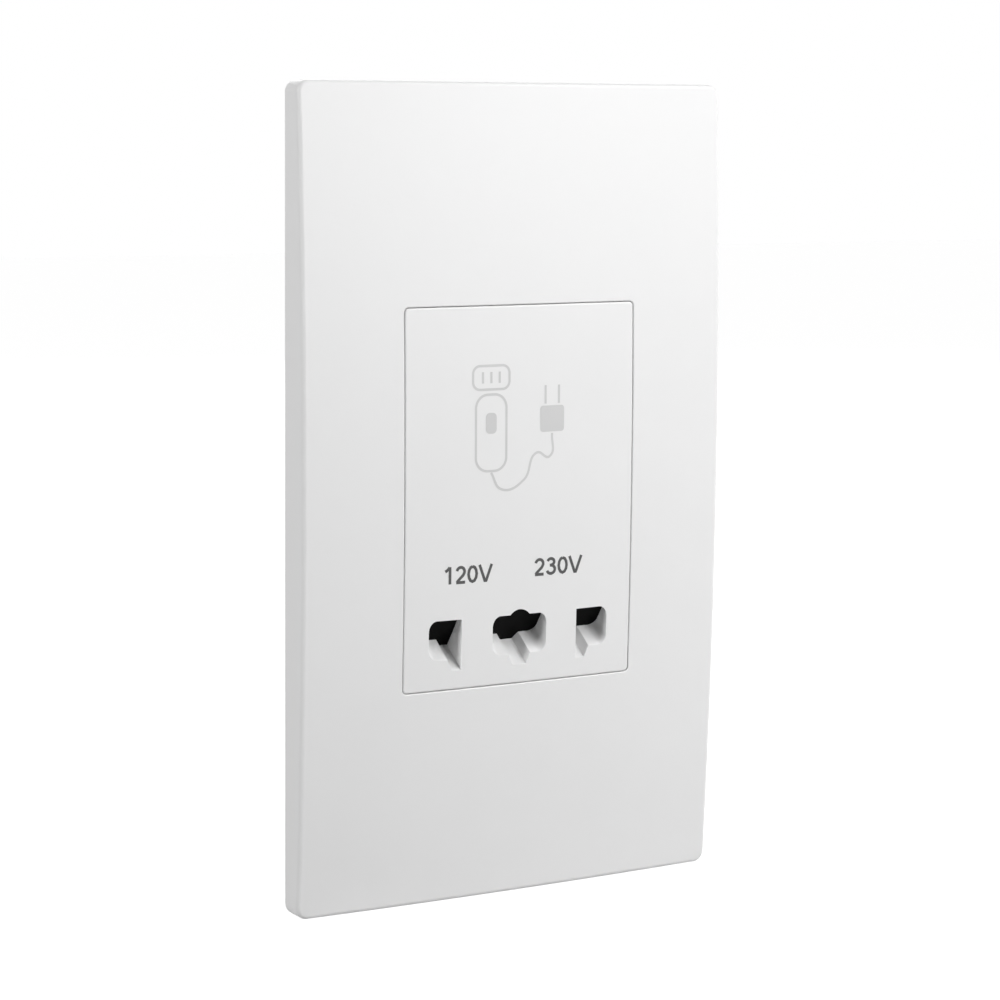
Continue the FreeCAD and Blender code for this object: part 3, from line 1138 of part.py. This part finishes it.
def leads():
    """The inner wiring, from the mains terminals round to the three contacts."""
    live, live_out = terminal_tail(2)
    neutral, neutral_out = terminal_tail(0)
    switch_in, switch_in_out = switch_tag_end(1 / 3)
    switch_on, switch_on_out = switch_tag_end(2 / 3)
    cutout_in, cutout_in_out = cutout_tag_end(-1)
    cutout_on, cutout_on_out = cutout_tag_end(1)
    pins = [pin_end(x) for x in PRIMARY_PIN_X + SECONDARY_PIN_X]
    tags = [contact_tag_end(index) for index in range(3)]
    side = HOUSING_INNER_SIDE - LEAD_SIDE_GAP
    return {
        "lead_live": [live, live_out, V(12, 18.5, -33), V(9, 21, -23), V(4, 21.5, -16),
                      V(0.6, 20, -14), switch_in_out, switch_in],
        "lead_switched": [switch_on, switch_on_out, V(-6, 17.5, -11.5), V(-11.5, 13, -8), cutout_in_out,
                cutout_in],
        "lead_cutout": [cutout_on, cutout_on_out, V(-7.2, 6, -4), V(-9.3, 4.4, -3), pins[1][1], pins[1][0]],
        "lead_neutral": [neutral, neutral_out, V(1.4 - side, 18.5, -36), V(-side, 13, -22), V(-side, 9, -8),
                V(3.2 - side, 5.5, -2.8), V(-15.8, 4.4, -2.6), pins[0][1], pins[0][0]],
        "lead_120v": [*tags[0], V(-10.5, 16.5, -3), V(-1, 17.2, -2.6), V(7.5, 14.5, -2.6),
                V(9.5, 8.5, -2.8),
                      pins[3][1], pins[3][0]],
        "lead_common": [*tags[1], V(2.2, 12.4, -2.2), V(4.3, 8, -1.8), pins[2][1], pins[2][0]],
        "lead_230v": [*tags[2], V(15.1, 12.2, -2), V(14.6, 8, -1.8), pins[4][1], pins[4][0]],
    }


def vents():
    """Rows of vent slots: through the top, through both sides and through the back."""
    slots = []
    middle = (VENT_COUNT - 1) / 2
    top = HOUSING_HEIGHT / 2
    side = HOUSING_WIDTH / 2
    for i in range(VENT_COUNT):
        step = (i - middle) * VENT_PITCH
        across = (VENT_START, VENT_START + VENT_LENGTH)
        slots.append(span_box((step - VENT_WIDTH / 2, step + VENT_WIDTH / 2), across,
                (top - MARGIN, top + MARGIN)))
        z = CORE_CENTRE_Z + step
        level = (z - VENT_WIDTH / 2, z + VENT_WIDTH / 2)
        for sign in (-1, 1):
            x = sorted((sign * (side - MARGIN), sign * (side + MARGIN)))
            slots.append(span_box(x, across, level))
    return slots


def housing_space(inset):
    """The outside of the deep box moved in by inset: its back is narrower, behind sloping shoulders."""
    wide = HOUSING_WIDTH / 2 - inset
    narrow = HOUSING_BACK_WIDTH / 2 - inset
    shoulder = HOUSING_SHOULDER - inset * SHOULDER_EASE
    slope_end = shoulder + wide - narrow
    front = -HOUSING_SEAT_DEPTH - inset
    back = HOUSING_DEPTH - inset
    half = HOUSING_HEIGHT / 2 - inset
    radius = max(HOUSING_BACK_RADIUS - inset, 0)
    left = [(-wide, front, 0), (-wide, shoulder, 0), (-narrow, slope_end, 0), (-narrow, back, radius)]
    right = [(-x, y, r) for x, y, r in reversed(left)]
    plan = Part.Face(rounded_wire(left + right, lambda p: V(p.x, p.y, -half))).extrude(V(0, 0, 2 * half))
    outline = [(front, -half, 0), (back, -half, radius), (back, half, radius), (front, half, 0)]
    side = prism_x(outline, -wide, wide)
    corners = block_y(2 * wide, 2 * half, HOUSING_CORNER_RADIUS - inset, front, back)
    return plan.common(side).common(corners)


def rear_housing():
    """The deep box behind the frame: columns, transformer bosses, vents and terminal openings."""
    outside = housing_space(0)
    shell = outside.cut([housing_space(HOUSING_WALL)] + vents())
    starts = [place - V(0, HOUSING_SEAT_DEPTH, 0) for place in column_places()]
    columns = [rod(COLUMN_RADIUS, start, Y_AXIS, COLUMN_LENGTH) for start in starts]
    bosses = [rod(CORE_BOSS_RADIUS, place + V(0, CORE_BACK, 0), Y_AXIS, HOUSING_INNER_BACK - CORE_BACK)
              for place in core_screw_places()]
    shell = shell.fuse([post.common(outside) for post in columns + bosses])
    cuts = [rod(SCREW_PILOT_RADIUS, start, Y_AXIS, HOUSING_SCREW_LENGTH) for start in starts]
    cuts += [rod(SCREW_PILOT_RADIUS, place + V(0, CORE_BACK, 0), Y_AXIS, CORE_SCREW_BITE + STRIP)
             for place in core_screw_places()]
    for index in range(3):
        x = terminal_x(index)
        cuts.append(rod(ENTRY_RADIUS, V(x, TERMINAL_BORE_Y, -HOUSING_HEIGHT / 2 - MARGIN), Z_AXIS,
                2 * MARGIN))
        driver = V(x, HOUSING_INNER_BACK - STRIP, (TERMINAL_BOTTOM + TERMINAL_TOP) / 2)
        cuts.append(rod(DRIVER_RADIUS, driver, Y_AXIS, 2 * MARGIN))
    return shell.cut(cuts).removeSplitter()


def housing_screws():
    """Four screws through the support frame into the housing's columns."""
    screws = []
    for place in column_places():
        under_head = place - V(0, FRAME_PANEL, 0)
        length = HOUSING_SCREW_LENGTH + FRAME_PANEL - STRIP
        screws.append(screw(under_head, Y_AXIS, SCREW_HEAD_RADIUS, SCREW_HEAD_HEIGHT, SCREW_RADIUS, length))
    return Part.Compound(screws)


def build_all():
    """Every piece by the name of its node."""
    primary, secondary = chamber_levels()
    pieces = {
        "front_plate": front_plate(),
        "support_frame": support_frame(),
        "socket_face": socket_face(),
        "shutter": shutter(),
        "shutter_spring_left": shutter_spring(-1),
        "shutter_spring_right": shutter_spring(1),
        "contact_carrier": contact_carrier(),
        "carrier_screws": carrier_screws(),
        "switch_body": switch_body(),
        "switch_plunger": switch_plunger(),
        "transformer_core": transformer_core(),
        "core_screws": core_screws(),
        "bobbin": bobbin(),
        "bobbin_pins": bobbin_pins(),
        "primary_winding": winding(primary),
        "secondary_winding": winding(secondary),
        "primary_tape": winding_tape(primary),
        "secondary_tape": winding_tape(secondary),
        "thermal_cutout": thermal_cutout(),
        "terminal_block": terminal_block(),
        "terminal_screws": terminal_screws(),
        "rear_housing": rear_housing(),
        "housing_screws": housing_screws(),
    }
    for name, place in zip(("contact_120v", "contact_common", "contact_230v"), contact_places()):
        pieces[name] = contact(*place)
    for index, name in enumerate(TERMINAL_NAMES):
        pieces[name] = terminal(index)
    for name, points in leads().items():
        pieces[name] = lead(points)
    return pieces


os.makedirs("parts", exist_ok=True)
for node, solid in build_all().items():
    solid.exportStep("parts/" + node + ".step")
    print(node, "solids", len(solid.Solids), "valid", solid.isValid(), "volume", round(solid.Volume, 1))
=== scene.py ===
import json
import math

import bpy
from mathutils import Matrix, Vector
from mathutils.bvhtree import BVHTree


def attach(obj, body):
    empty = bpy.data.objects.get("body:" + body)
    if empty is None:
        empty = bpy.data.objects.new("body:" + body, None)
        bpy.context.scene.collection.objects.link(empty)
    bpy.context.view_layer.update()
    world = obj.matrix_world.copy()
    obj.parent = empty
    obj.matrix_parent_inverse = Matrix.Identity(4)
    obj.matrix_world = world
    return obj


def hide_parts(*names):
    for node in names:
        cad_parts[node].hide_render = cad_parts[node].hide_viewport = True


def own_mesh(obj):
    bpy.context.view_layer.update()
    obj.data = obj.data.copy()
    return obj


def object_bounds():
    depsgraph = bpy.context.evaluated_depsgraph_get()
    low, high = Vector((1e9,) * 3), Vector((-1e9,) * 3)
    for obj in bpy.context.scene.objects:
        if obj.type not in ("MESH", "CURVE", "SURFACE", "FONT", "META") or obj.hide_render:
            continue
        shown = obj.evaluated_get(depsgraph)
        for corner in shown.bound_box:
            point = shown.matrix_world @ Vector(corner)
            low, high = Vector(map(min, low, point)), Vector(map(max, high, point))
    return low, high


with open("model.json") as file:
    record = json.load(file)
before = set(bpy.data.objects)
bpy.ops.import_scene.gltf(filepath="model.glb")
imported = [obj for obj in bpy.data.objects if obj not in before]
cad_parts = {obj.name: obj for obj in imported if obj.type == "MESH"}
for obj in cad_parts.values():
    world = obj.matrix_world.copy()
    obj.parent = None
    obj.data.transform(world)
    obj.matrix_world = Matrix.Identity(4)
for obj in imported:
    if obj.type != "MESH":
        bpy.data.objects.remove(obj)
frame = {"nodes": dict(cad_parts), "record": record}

cad_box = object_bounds()
NODES = frame["nodes"]
MM = 0.001

# Camera, fitted to the plate's and the insert's edges in the photograph
CAMERA_YAW = math.radians(30.41)
CAMERA_PITCH = math.radians(7.66)
CAMERA_ROLL = math.radians(0.55)
CAMERA_DISTANCE = 0.521
CAMERA_LENS = 103.68
CAMERA_SENSOR = 36.0
CAMERA_SHIFT = (0.0025, -0.010)

# Light
WORLD_LEVEL = 0.02
FLOOR_RADIUS = 2.0
FLOOR_COLOUR = (0.35, 0.35, 0.35, 1.0)
FLOOR_GLOW = 0.9
LAMPS = {
    # name: (place, width, watts)
    "key_lamp": ((0.22, -0.45, 0.18), 0.30, 1.66),
    "top_lamp": ((0.50, -0.30, 0.45), 0.30, 2.4),
    "left_lamp": ((-0.70, -0.08, 0.27), 0.16, 2.75),
    "back_lamp": ((0.25, 0.90, 0.35), 0.60, 3.0),
}

# Printed marks
INK_THICKNESS = 0.02 * MM
SECOND_COAT = 0.25
RAY_START = 10 * MM
LABEL_HEIGHT = 3.1 * MM
LABELS = {
    # text: (middle x, middle z, width)
    "120V": (-10.9 * MM, -13.4 * MM, 10.1 * MM),
    "230V": (7.8 * MM, -13.15 * MM, 10.3 * MM),
}
LETTER_STEM = 0.175  # in shares of the letter's height
LINE_WIDTH = 0.45 * MM
ARC_STEPS = 12
PICTOGRAM_BOXES = {
    # name: ((middle x, middle z), width, height, corner radius), in millimetres
    "shaver_body": ((-6.4, 11.6), 6.2, 13.6, 2.4),
    "shaver_head": ((-6.4, 21.4), 7.4, 4.2, 1.4),
    "switch": ((-6.4, 13.3), 2.2, 3.7, 0.8),
    "plug": ((6.2, 13.6), 5.0, 4.7, 0.6),
}
FLEX_BENDS = [(-6.4, 4.5), (-4.2, 1.4), (0.4, 2.9), (3.0, 7.6), (5.7, 6.8), (6.2, 11.0)]
FOIL_PITCH = 1.7
FOIL_ENDS = (-1.0, 1.0)
PIN_OFFSET = 1.4
PIN_ENDS = (2.7, 6.0)

# Sizes of the slow changes of tone
FLOW_SIZE = 14 * MM
TARNISH_SIZE = 3 * MM
PATCH_SIZE = 4 * MM


# Material nodes
def node(tree, kind, sockets=None, **settings):
    """One shader node with its sockets and settings filled in."""
    made = tree.nodes.new(kind)
    for name, value in settings.items():
        setattr(made, name, value)
    for name, value in (sockets or {}).items():
        made.inputs[name].default_value = value
    return made


def grey(level):
    return (level, level, level, 1.0)


def coordinates(tree, stretch=(1.0, 1.0, 1.0)):
    """Object coordinates, stretched along an axis for grain that has a direction."""
    place = node(tree, "ShaderNodeTexCoord")
    mapping = node(tree, "ShaderNodeMapping", {"Scale": stretch})
    tree.links.new(place.outputs["Object"], mapping.inputs["Vector"])
    return mapping.outputs["Vector"]


def noise(tree, where, grain, detail=2.0):
    """Noise whose spots are about grain wide."""
    made = node(tree, "ShaderNodeTexNoise", {"Scale": 1.0 / grain, "Detail": detail})
    tree.links.new(where, made.inputs["Vector"])
    return made.outputs["Fac"]


def bands(tree, where, pitch, direction, wobble=0.0):
    """Even bands across an axis, one every pitch. The wave node's own pitch is pi / 10."""
    made = node(tree, "ShaderNodeTexWave", {"Scale": math.pi / 10 / pitch, "Distortion": wobble},
                bands_direction=direction)
    tree.links.new(where, made.inputs["Vector"])
    return made.outputs["Fac"]


def blend_colours(tree, source, low, high, dark, light):
    """A colour that goes from dark to light as source goes from low to high."""
    made = node(tree, "ShaderNodeValToRGB")
    made.color_ramp.elements[0].position = low
    made.color_ramp.elements[0].color = (*dark, 1.0)
    made.color_ramp.elements[1].position = high
    made.color_ramp.elements[1].color = (*light, 1.0)
    tree.links.new(source, made.inputs["Fac"])
    return made.outputs["Color"]


def spread(tree, source, low, high):
    """A number that goes from low to high as source goes from 0 to 1."""
    made = node(tree, "ShaderNodeMapRange", {"To Min": low, "To Max": high})
    tree.links.new(source, made.inputs["Value"])
    return made.outputs["Result"]


def bump(tree, height, depth, under=None):
    made = node(tree, "ShaderNodeBump", {"Strength": 1.0, "Distance": depth})
    tree.links.new(height, made.inputs["Height"])
    if under:
        tree.links.new(under, made.inputs["Normal"])
    return made.outputs["Normal"]


def start_material(name, **sockets):
    """A material with its principled shader, and the constant sockets set on it."""
    material = bpy.data.materials.new(name)
    material.use_nodes = True
    tree = material.node_tree
    shader = tree.nodes["Principled BSDF"]
    for key, value in sockets.items():
        shader.inputs[key.replace("_", " ")].default_value = value
    return material, tree, shader


def scaled(colour, factor):
    return tuple(min(1.0, channel * factor) for channel in colour)


def moulded(name, colour, roughness, grain, depth, mottle=0.02, **sockets):
    """Moulded plastic: a fine eroded grain, slight flow marks and a roughness that varies a little."""
    material, tree, shader = start_material(name, **sockets)
    where = coordinates(tree)
    flow = noise(tree, where, FLOW_SIZE, 3.0)
    fine = noise(tree, where, grain, 3.0)
    tone = blend_colours(tree, flow, 0.3, 0.7, scaled(colour, 1 - mottle), scaled(colour, 1 + mottle))
    tree.links.new(tone, shader.inputs["Base Color"])
    tree.links.new(spread(tree, flow, roughness * 0.92, roughness * 1.08), shader.inputs["Roughness"])
    tree.links.new(bump(tree, fine, depth), shader.inputs["Normal"])
    return material


def metal(name, colour, roughness, grain, depth, stretch, tarnish=0.12, **sockets):
    """Bare metal: drawn or rolled streaks along an axis, and a tarnish in slow patches."""
    material, tree, shader = start_material(name, Metallic=1.0, **sockets)
    streaks = noise(tree, coordinates(tree, stretch), grain, 4.0)
    patches = noise(tree, coordinates(tree), TARNISH_SIZE, 3.0)
    tone = blend_colours(tree, patches, 0.35, 0.7, scaled(colour, 1 - tarnish), colour)
    tree.links.new(tone, shader.inputs["Base Color"])
    tree.links.new(spread(tree, streaks, roughness * 0.75, roughness * 1.3), shader.inputs["Roughness"])
    tree.links.new(bump(tree, streaks, depth), shader.inputs["Normal"])
    return material


def banded(name, dark, light, pitch, direction, depth, roughness, **sockets):
    """Turns of wire, laid tape or stacked sheets: bands at an even pitch with a slow change of tone."""
    material, tree, shader = start_material(name, **sockets)
    where = coordinates(tree)
    turns = bands(tree, where, pitch, direction, 0.3)
    patches = noise(tree, where, PATCH_SIZE, 2.0)
    tone = blend_colours(tree, turns, 0.1, 0.8, dark, light)
    shade = blend_colours(tree, patches, 0.3, 0.7, (0.86, 0.86, 0.86), (1.0, 1.0, 1.0))
    mixed = node(tree, "ShaderNodeMix", data_type="RGBA", blend_type="MULTIPLY")
    mixed.inputs["Factor"].default_value = 1.0
    tree.links.new(tone, mixed.inputs["A"])
    tree.links.new(shade, mixed.inputs["B"])
    tree.links.new(mixed.outputs["Result"], shader.inputs["Base Color"])
    tree.links.new(spread(tree, patches, roughness * 0.85, roughness * 1.2), shader.inputs["Roughness"])
    tree.links.new(bump(tree, turns, depth), shader.inputs["Normal"])
    return material


def make_materials():
    """One material for each of the record's slots, and the two inks."""
    cover = (0.86, 0.86, 0.86)
    steel = (0.60, 0.60, 0.61)
    brass = (0.72, 0.50, 0.20)
    along_z = (1.0, 1.0, 0.08)
    along_x = (0.08, 1.0, 1.0)
    return {
        "cover_white": moulded("cover_white", cover, 0.40, 0.30 * MM, 0.002 * MM, 0.006, IOR=1.49),
        "frame_white": moulded("frame_white", (0.78, 0.78, 0.77), 0.55, 0.22 * MM, 0.008 * MM),
        "housing_white": moulded("housing_white", (0.74, 0.74, 0.72), 0.60, 0.25 * MM, 0.015 * MM),
        "shutter_black": moulded("shutter_black", (0.003, 0.003, 0.003), 0.60, 0.20 * MM, 0.006 * MM, 0.15,
                                 Specular_IOR_Level=0.05),
        "carrier_grey": moulded("carrier_grey", (0.09, 0.095, 0.10), 0.55, 0.22 * MM, 0.01 * MM, 0.06),
        "switch_black": moulded("switch_black", (0.012, 0.012, 0.012), 0.45, 0.20 * MM, 0.006 * MM, 0.15),
        "plunger_red": moulded("plunger_red", (0.42, 0.02, 0.015), 0.30, 0.15 * MM, 0.003 * MM, 0.05),
        "bobbin_nylon": moulded("bobbin_nylon", (0.66, 0.63, 0.53), 0.45, 0.30 * MM, 0.01 * MM, 0.05,
                                Subsurface_Weight=0.1),
        "cutout_case": moulded("cutout_case", (0.02, 0.02, 0.022), 0.40, 0.20 * MM, 0.006 * MM, 0.12),
        "terminal_moulding": moulded("terminal_moulding", (0.70, 0.69, 0.64), 0.50, 0.25 * MM, 0.01 * MM,
                                     0.03),
        "lead_brown": moulded("lead_brown", (0.12, 0.045, 0.02), 0.42, 0.5 * MM, 0.01 * MM, 0.08),
        "lead_blue": moulded("lead_blue", (0.02, 0.07, 0.30), 0.42, 0.5 * MM, 0.01 * MM, 0.08),
        "lead_white": moulded("lead_white", (0.72, 0.72, 0.70), 0.42, 0.5 * MM, 0.01 * MM, 0.03),
        "spring_steel": metal("spring_steel", steel, 0.24, 0.10 * MM, 0.002 * MM, (1.0, 1.0, 1.0)),
        "contact_brass": metal("contact_brass", brass, 0.28, 0.12 * MM, 0.002 * MM, along_z),
        "terminal_brass": metal("terminal_brass", brass, 0.33, 0.15 * MM, 0.004 * MM, along_x, 0.2),
        "screw_steel": metal("screw_steel", (0.66, 0.66, 0.68), 0.30, 0.12 * MM, 0.003 * MM, along_x),
        "pin_tin": metal("pin_tin", (0.68, 0.68, 0.66), 0.35, 0.12 * MM, 0.003 * MM, along_z),
        "core_steel": banded("core_steel", (0.035, 0.035, 0.04), (0.16, 0.16, 0.17), 0.5 * MM, "Y", 0.03 * MM,
                             0.45, Metallic=0.8),
        "copper_wire": banded("copper_wire", (0.16, 0.035, 0.012), (0.55, 0.17, 0.06), 0.25 * MM, "Z",
                              0.08 * MM, 0.28, Coat_Weight=0.5, Coat_Roughness=0.15),
        "winding_tape": banded("winding_tape", (0.62, 0.40, 0.03), (0.74, 0.50, 0.05), 6.0 * MM, "Z",
                               0.04 * MM, 0.25),
        "label_ink": moulded("label_ink", (0.06, 0.06, 0.06), 0.5, 0.2 * MM, 0.003 * MM, 0.1),
        "pictogram_ink": moulded("pictogram_ink", (0.64, 0.64, 0.64), 0.45, 0.2 * MM, 0.003 * MM, 0.03),
    }


def paint(piece, material):
    piece.data.materials.clear()
    piece.data.materials.append(material)


def dress_nodes(materials):
    """Gives every node the material of its slot."""
    for part in frame["record"]["subparts"]:
        solid = NODES[part["node"]]
        for place in solid.material_slots:
            place.material = materials[part["material_slot"]]


# Springs
def shortening_spring(side, material):
    """A copy of the shutter's return spring, painted and attached to the housing, in place of the hidden
    original.
    """
    solid = NODES["shutter_spring_" + side]
    spring = bpy.data.objects.new("return_spring_" + side, solid.data.copy())
    bpy.context.collection.objects.link(spring)
    spring.matrix_world = solid.matrix_world
    paint(spring, material)
    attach(spring, "housing")
    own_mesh(spring)
    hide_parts(solid.name)


# Printed marks
def face_surface():
    """The insert's front, to lay the printed marks on."""
    solid = NODES["socket_face"]
    mesh = solid.data
    points = [solid.matrix_world @ vertex.co for vertex in mesh.vertices]
    return BVHTree.FromPolygons(points, [polygon.vertices for polygon in mesh.polygons])


def laid_on(surface, x, z, coats):
    """The point of the surface straight behind x and z, with that many coats of ink on it."""
    hit = surface.ray_cast(Vector((x, cad_box[0].y - RAY_START, z)), Vector((0, 1, 0)))[0]
    return Vector((x, hit.y - INK_THICKNESS * coats, z))


def printed(name, outline_points, faces, surface, material, coats=1.0):
    """A thin mark that lies on the insert. outline_points are x and z."""
    mesh = bpy.data.meshes.new(name)
    mesh.from_pydata([laid_on(surface, x, z, coats) for x, z in outline_points], [], faces)
    mesh.update()
    mark = bpy.data.objects.new(name, mesh)
    bpy.context.collection.objects.link(mark)
    paint(mark, material)
    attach(mark, "housing")


def arc(centre, radius, start, end, upward=None):
    """Points along an arc, in degrees; upward is its other radius where it is oval."""
    angles = [math.radians(start + (end - start) * step / ARC_STEPS) for step in range(ARC_STEPS + 1)]
    upward = radius if upward is None else upward
    return [(centre[0] + radius * math.cos(a), centre[1] + upward * math.sin(a)) for a in angles]


def rounded_box(centre, width, height, radius):
    """The outline of a box with round corners, anticlockwise."""
    across = width / 2 - radius
    upward = height / 2 - radius
    x, z = centre
    return (
        arc((x + across, z - upward), radius, -90, 0)
        + arc((x + across, z + upward), radius, 0, 90)
        + arc((x - across, z + upward), radius, 90, 180)
        + arc((x - across, z - upward), radius, 180, 270)
    )


def stroke(path, width, closed=False):
    """A ribbon of that width along a path, mitred at its corners, as points and faces."""
    count = len(path)
    corners = [Vector(corner) for corner in path]
    points = []
    for index, here in enumerate(corners):
        ahead = corners[(index + 1) % count] if closed or index < count - 1 else None
        behind = corners[index - 1] if closed or index > 0 else None
        run_in = (here - behind).normalized() if behind else (ahead - here).normalized()
        run_out = (ahead - here).normalized() if ahead else run_in
        run = (run_in + run_out).normalized()
        side = Vector((-run.y, run.x)) * width / 2 / run.dot(run_out)
        points += [tuple(here + side), tuple(here - side)]
    faces = []
    for index in range(count if closed else count - 1):
        following = (index + 1) % count
        faces.append((2 * index, 2 * index + 1, 2 * following + 1, 2 * following))
    return points, faces


def glyph_strokes(character):
    """The pen strokes of one character, in shares of its height, with its advance."""
    oval = (0.39, 0.5)
    upper = (0.375, 0.75)
    lower = (0.38, 0.305)
    bowl = (0.39, 0.69)
    glyphs = {
        "0": (0.78, [arc(oval, 0.265, 90, 450, 0.437)]),
        "1": (0.78, [[(0.47, 0.0), (0.47, 1.0)], [(0.16, 0.74), (0.29, 0.81), (0.38, 0.89), (0.44, 0.99)]]),
        "2": (0.78, [
            arc(bowl, 0.25, 170, -25, 0.247) + [(0.53, 0.45), (0.34, 0.28), (0.20, 0.15), (0.15, 0.07)],
            [(0.10, 0.063), (0.68, 0.063)],
        ]),
        "3": (0.78, [
            arc(upper, 0.22, 165, -80, 0.19) + [(0.31, 0.545)],
            [(0.31, 0.555)] + arc(lower, 0.265, 85, -165, 0.243),
        ]),
        "V": (0.93, [[(0.065, 1.0), (0.42, 0.06), (0.51, 0.06), (0.865, 1.0)]]),
    }
    return glyphs[character]


def print_label(text, surface, material):
    """A voltage in plain sans lettering, stretched to its printed width and height."""
    middle_x, middle_z, width = LABELS[text]
    total = sum(glyph_strokes(character)[0] for character in text)
    across = width / total
    at = 0.0
    for place, character in enumerate(text):
        advance, paths = glyph_strokes(character)
        for number, path in enumerate(paths):
            points, faces = stroke(path, LETTER_STEM)
            spots = [(middle_x + (at + x - total / 2) * across, middle_z + (z - 0.5) * LABEL_HEIGHT)
                     for x, z in points]
            name = f"label_{text}_{place + 1}{'ab'[number]}"
            printed(name, spots, faces, surface, material, 1 + SECOND_COAT * number)
        at += advance


def flex_path():
    """The pictogram's flex: one smooth line through its bends, from the shaver's foot to the plug."""
    curve = bpy.data.curves.new("flex_line", "CURVE")
    spline = curve.splines.new("BEZIER")
    spline.bezier_points.add(len(FLEX_BENDS) - 1)
    for point, (x, z) in zip(spline.bezier_points, FLEX_BENDS):
        point.co = (x * MM, z * MM, 0)
        point.handle_left_type = point.handle_right_type = "AUTO"
    holder = bpy.data.objects.new("flex_line", curve)
    bpy.context.collection.objects.link(holder)
    bpy.context.view_layer.update()
    mesh = bpy.data.meshes.new_from_object(holder.evaluated_get(bpy.context.evaluated_depsgraph_get()))
    path = [(vertex.co.x, vertex.co.y) for vertex in mesh.vertices]
    bpy.data.objects.remove(holder)
    bpy.data.meshes.remove(mesh)
    return path


def pictogram_box(name):
    (x, z), width, height, radius = PICTOGRAM_BOXES[name]
    return rounded_box((x * MM, z * MM), width * MM, height * MM, radius * MM)


def upright(x, middle_z, ends):
    """An upright line of the pictogram, between two heights from the middle."""
    return [(x * MM, (middle_z + end) * MM) for end in ends]


def print_pictogram(surface, material):
    """A plain mark for a shaver: its body, foil head and switch, with a flex and a two-pin plug."""
    lines = {
        "shaver_body": (pictogram_box("shaver_body"), True),
        "shaver_head": (pictogram_box("shaver_head"), True),
        "flex": (flex_path(), False),
    }
    head_x, head_z = PICTOGRAM_BOXES["shaver_head"][0]
    for step in range(3):
        x = head_x + (step - 1) * FOIL_PITCH
        lines[f"foil_line_{step + 1}"] = (upright(x, head_z, FOIL_ENDS), False)
    plug_x, plug_z = PICTOGRAM_BOXES["plug"][0]
    for side, sign in (("left", -1), ("right", 1)):
        lines["plug_pin_" + side] = (upright(plug_x + sign * PIN_OFFSET, plug_z, PIN_ENDS), False)
    for name, (path, closed) in lines.items():
        printed("print_" + name, *stroke(path, LINE_WIDTH, closed), surface, material)
    for name in ("switch", "plug"):
        outline = pictogram_box(name)
        printed("print_" + name, outline, [tuple(range(len(outline)))], surface, material)


# Stage
def add_camera():
    """The camera at the photograph's place, angle and framing."""
    view = Vector((
        math.sin(CAMERA_YAW) * math.cos(CAMERA_PITCH),
        math.cos(CAMERA_YAW) * math.cos(CAMERA_PITCH),
        -math.sin(CAMERA_PITCH),
    ))
    level_right = Vector((math.cos(CAMERA_YAW), -math.sin(CAMERA_YAW), 0))
    level_up = level_right.cross(view)
    right = math.cos(CAMERA_ROLL) * level_right + math.sin(CAMERA_ROLL) * level_up
    up = -math.sin(CAMERA_ROLL) * level_right + math.cos(CAMERA_ROLL) * level_up
    data = bpy.data.cameras.new("photo_camera")
    data.sensor_width = CAMERA_SENSOR
    data.lens = CAMERA_LENS
    data.shift_x, data.shift_y = CAMERA_SHIFT
    data.clip_start = 0.01
    camera = bpy.data.objects.new("photo_camera", data)
    bpy.context.collection.objects.link(camera)
    turn = Matrix((right, up, -view)).transposed().to_4x4()
    camera.matrix_world = Matrix.Translation(-view * CAMERA_DISTANCE) @ turn
    bpy.context.scene.camera = camera


def add_lamps():
    for name, (place, width, watts) in LAMPS.items():
        data = bpy.data.lights.new(name, "AREA")
        data.size = width
        data.energy = watts
        lamp = bpy.data.objects.new(name, data)
        bpy.context.collection.objects.link(lamp)
        lamp.location = place
        lamp.rotation_euler = (-Vector(place)).to_track_quat("-Z", "Y").to_euler()


def seen_directly(tree):
    """1 for camera, glossy and transmission rays, 0 for the rays that only carry light."""
    path = node(tree, "ShaderNodeLightPath")
    first = node(tree, "ShaderNodeMath", operation="MAXIMUM")
    second = node(tree, "ShaderNodeMath", operation="MAXIMUM")
    tree.links.new(path.outputs["Is Camera Ray"], first.inputs[0])
    tree.links.new(path.outputs["Is Glossy Ray"], first.inputs[1])
    tree.links.new(first.outputs["Value"], second.inputs[0])
    tree.links.new(path.outputs["Is Transmission Ray"], second.inputs[1])
    return second.outputs["Value"]


def add_world():
    """White where it is seen, and a plain grey level where it lights the object."""
    world = bpy.data.worlds.new("studio")
    bpy.context.scene.world = world
    world.use_nodes = True
    tree = world.node_tree
    background = tree.nodes["Background"]
    background.inputs["Color"].default_value = grey(1.0)
    level = node(tree, "ShaderNodeMapRange", {"To Min": WORLD_LEVEL, "To Max": 1.0})
    tree.links.new(seen_directly(tree), level.inputs["Value"])
    tree.links.new(level.outputs["Result"], background.inputs["Strength"])


def add_floor():
    """A pale floor under the plate's bottom edge, which keeps the object's shadow."""
    mesh = bpy.data.meshes.new("floor")
    low = cad_box[0].z
    corners = [(-1, -1), (1, -1), (1, 1), (-1, 1)]
    mesh.from_pydata([(x * FLOOR_RADIUS, y * FLOOR_RADIUS, low) for x, y in corners], [], [(0, 1, 2, 3)])
    floor = bpy.data.objects.new("floor", mesh)
    bpy.context.collection.objects.link(floor)
    material, tree, shader = start_material("floor_paper", Base_Color=FLOOR_COLOUR, Roughness=0.9,
                                            Emission_Color=grey(1.0))
    tree.links.new(spread(tree, seen_directly(tree), 0.0, FLOOR_GLOW), shader.inputs["Emission Strength"])
    mesh.materials.append(material)


materials = make_materials()
dress_nodes(materials)
for side, sign in (("left", -1), ("right", 1)):
    shortening_spring(side, materials["spring_steel"])
surface = face_surface()
for text in LABELS:
    print_label(text, surface, materials["label_ink"])
print_pictogram(surface, materials["pictogram_ink"])
add_camera()
add_lamps()
add_world()
add_floor()
bpy.context.scene.view_settings.view_transform = "Standard"
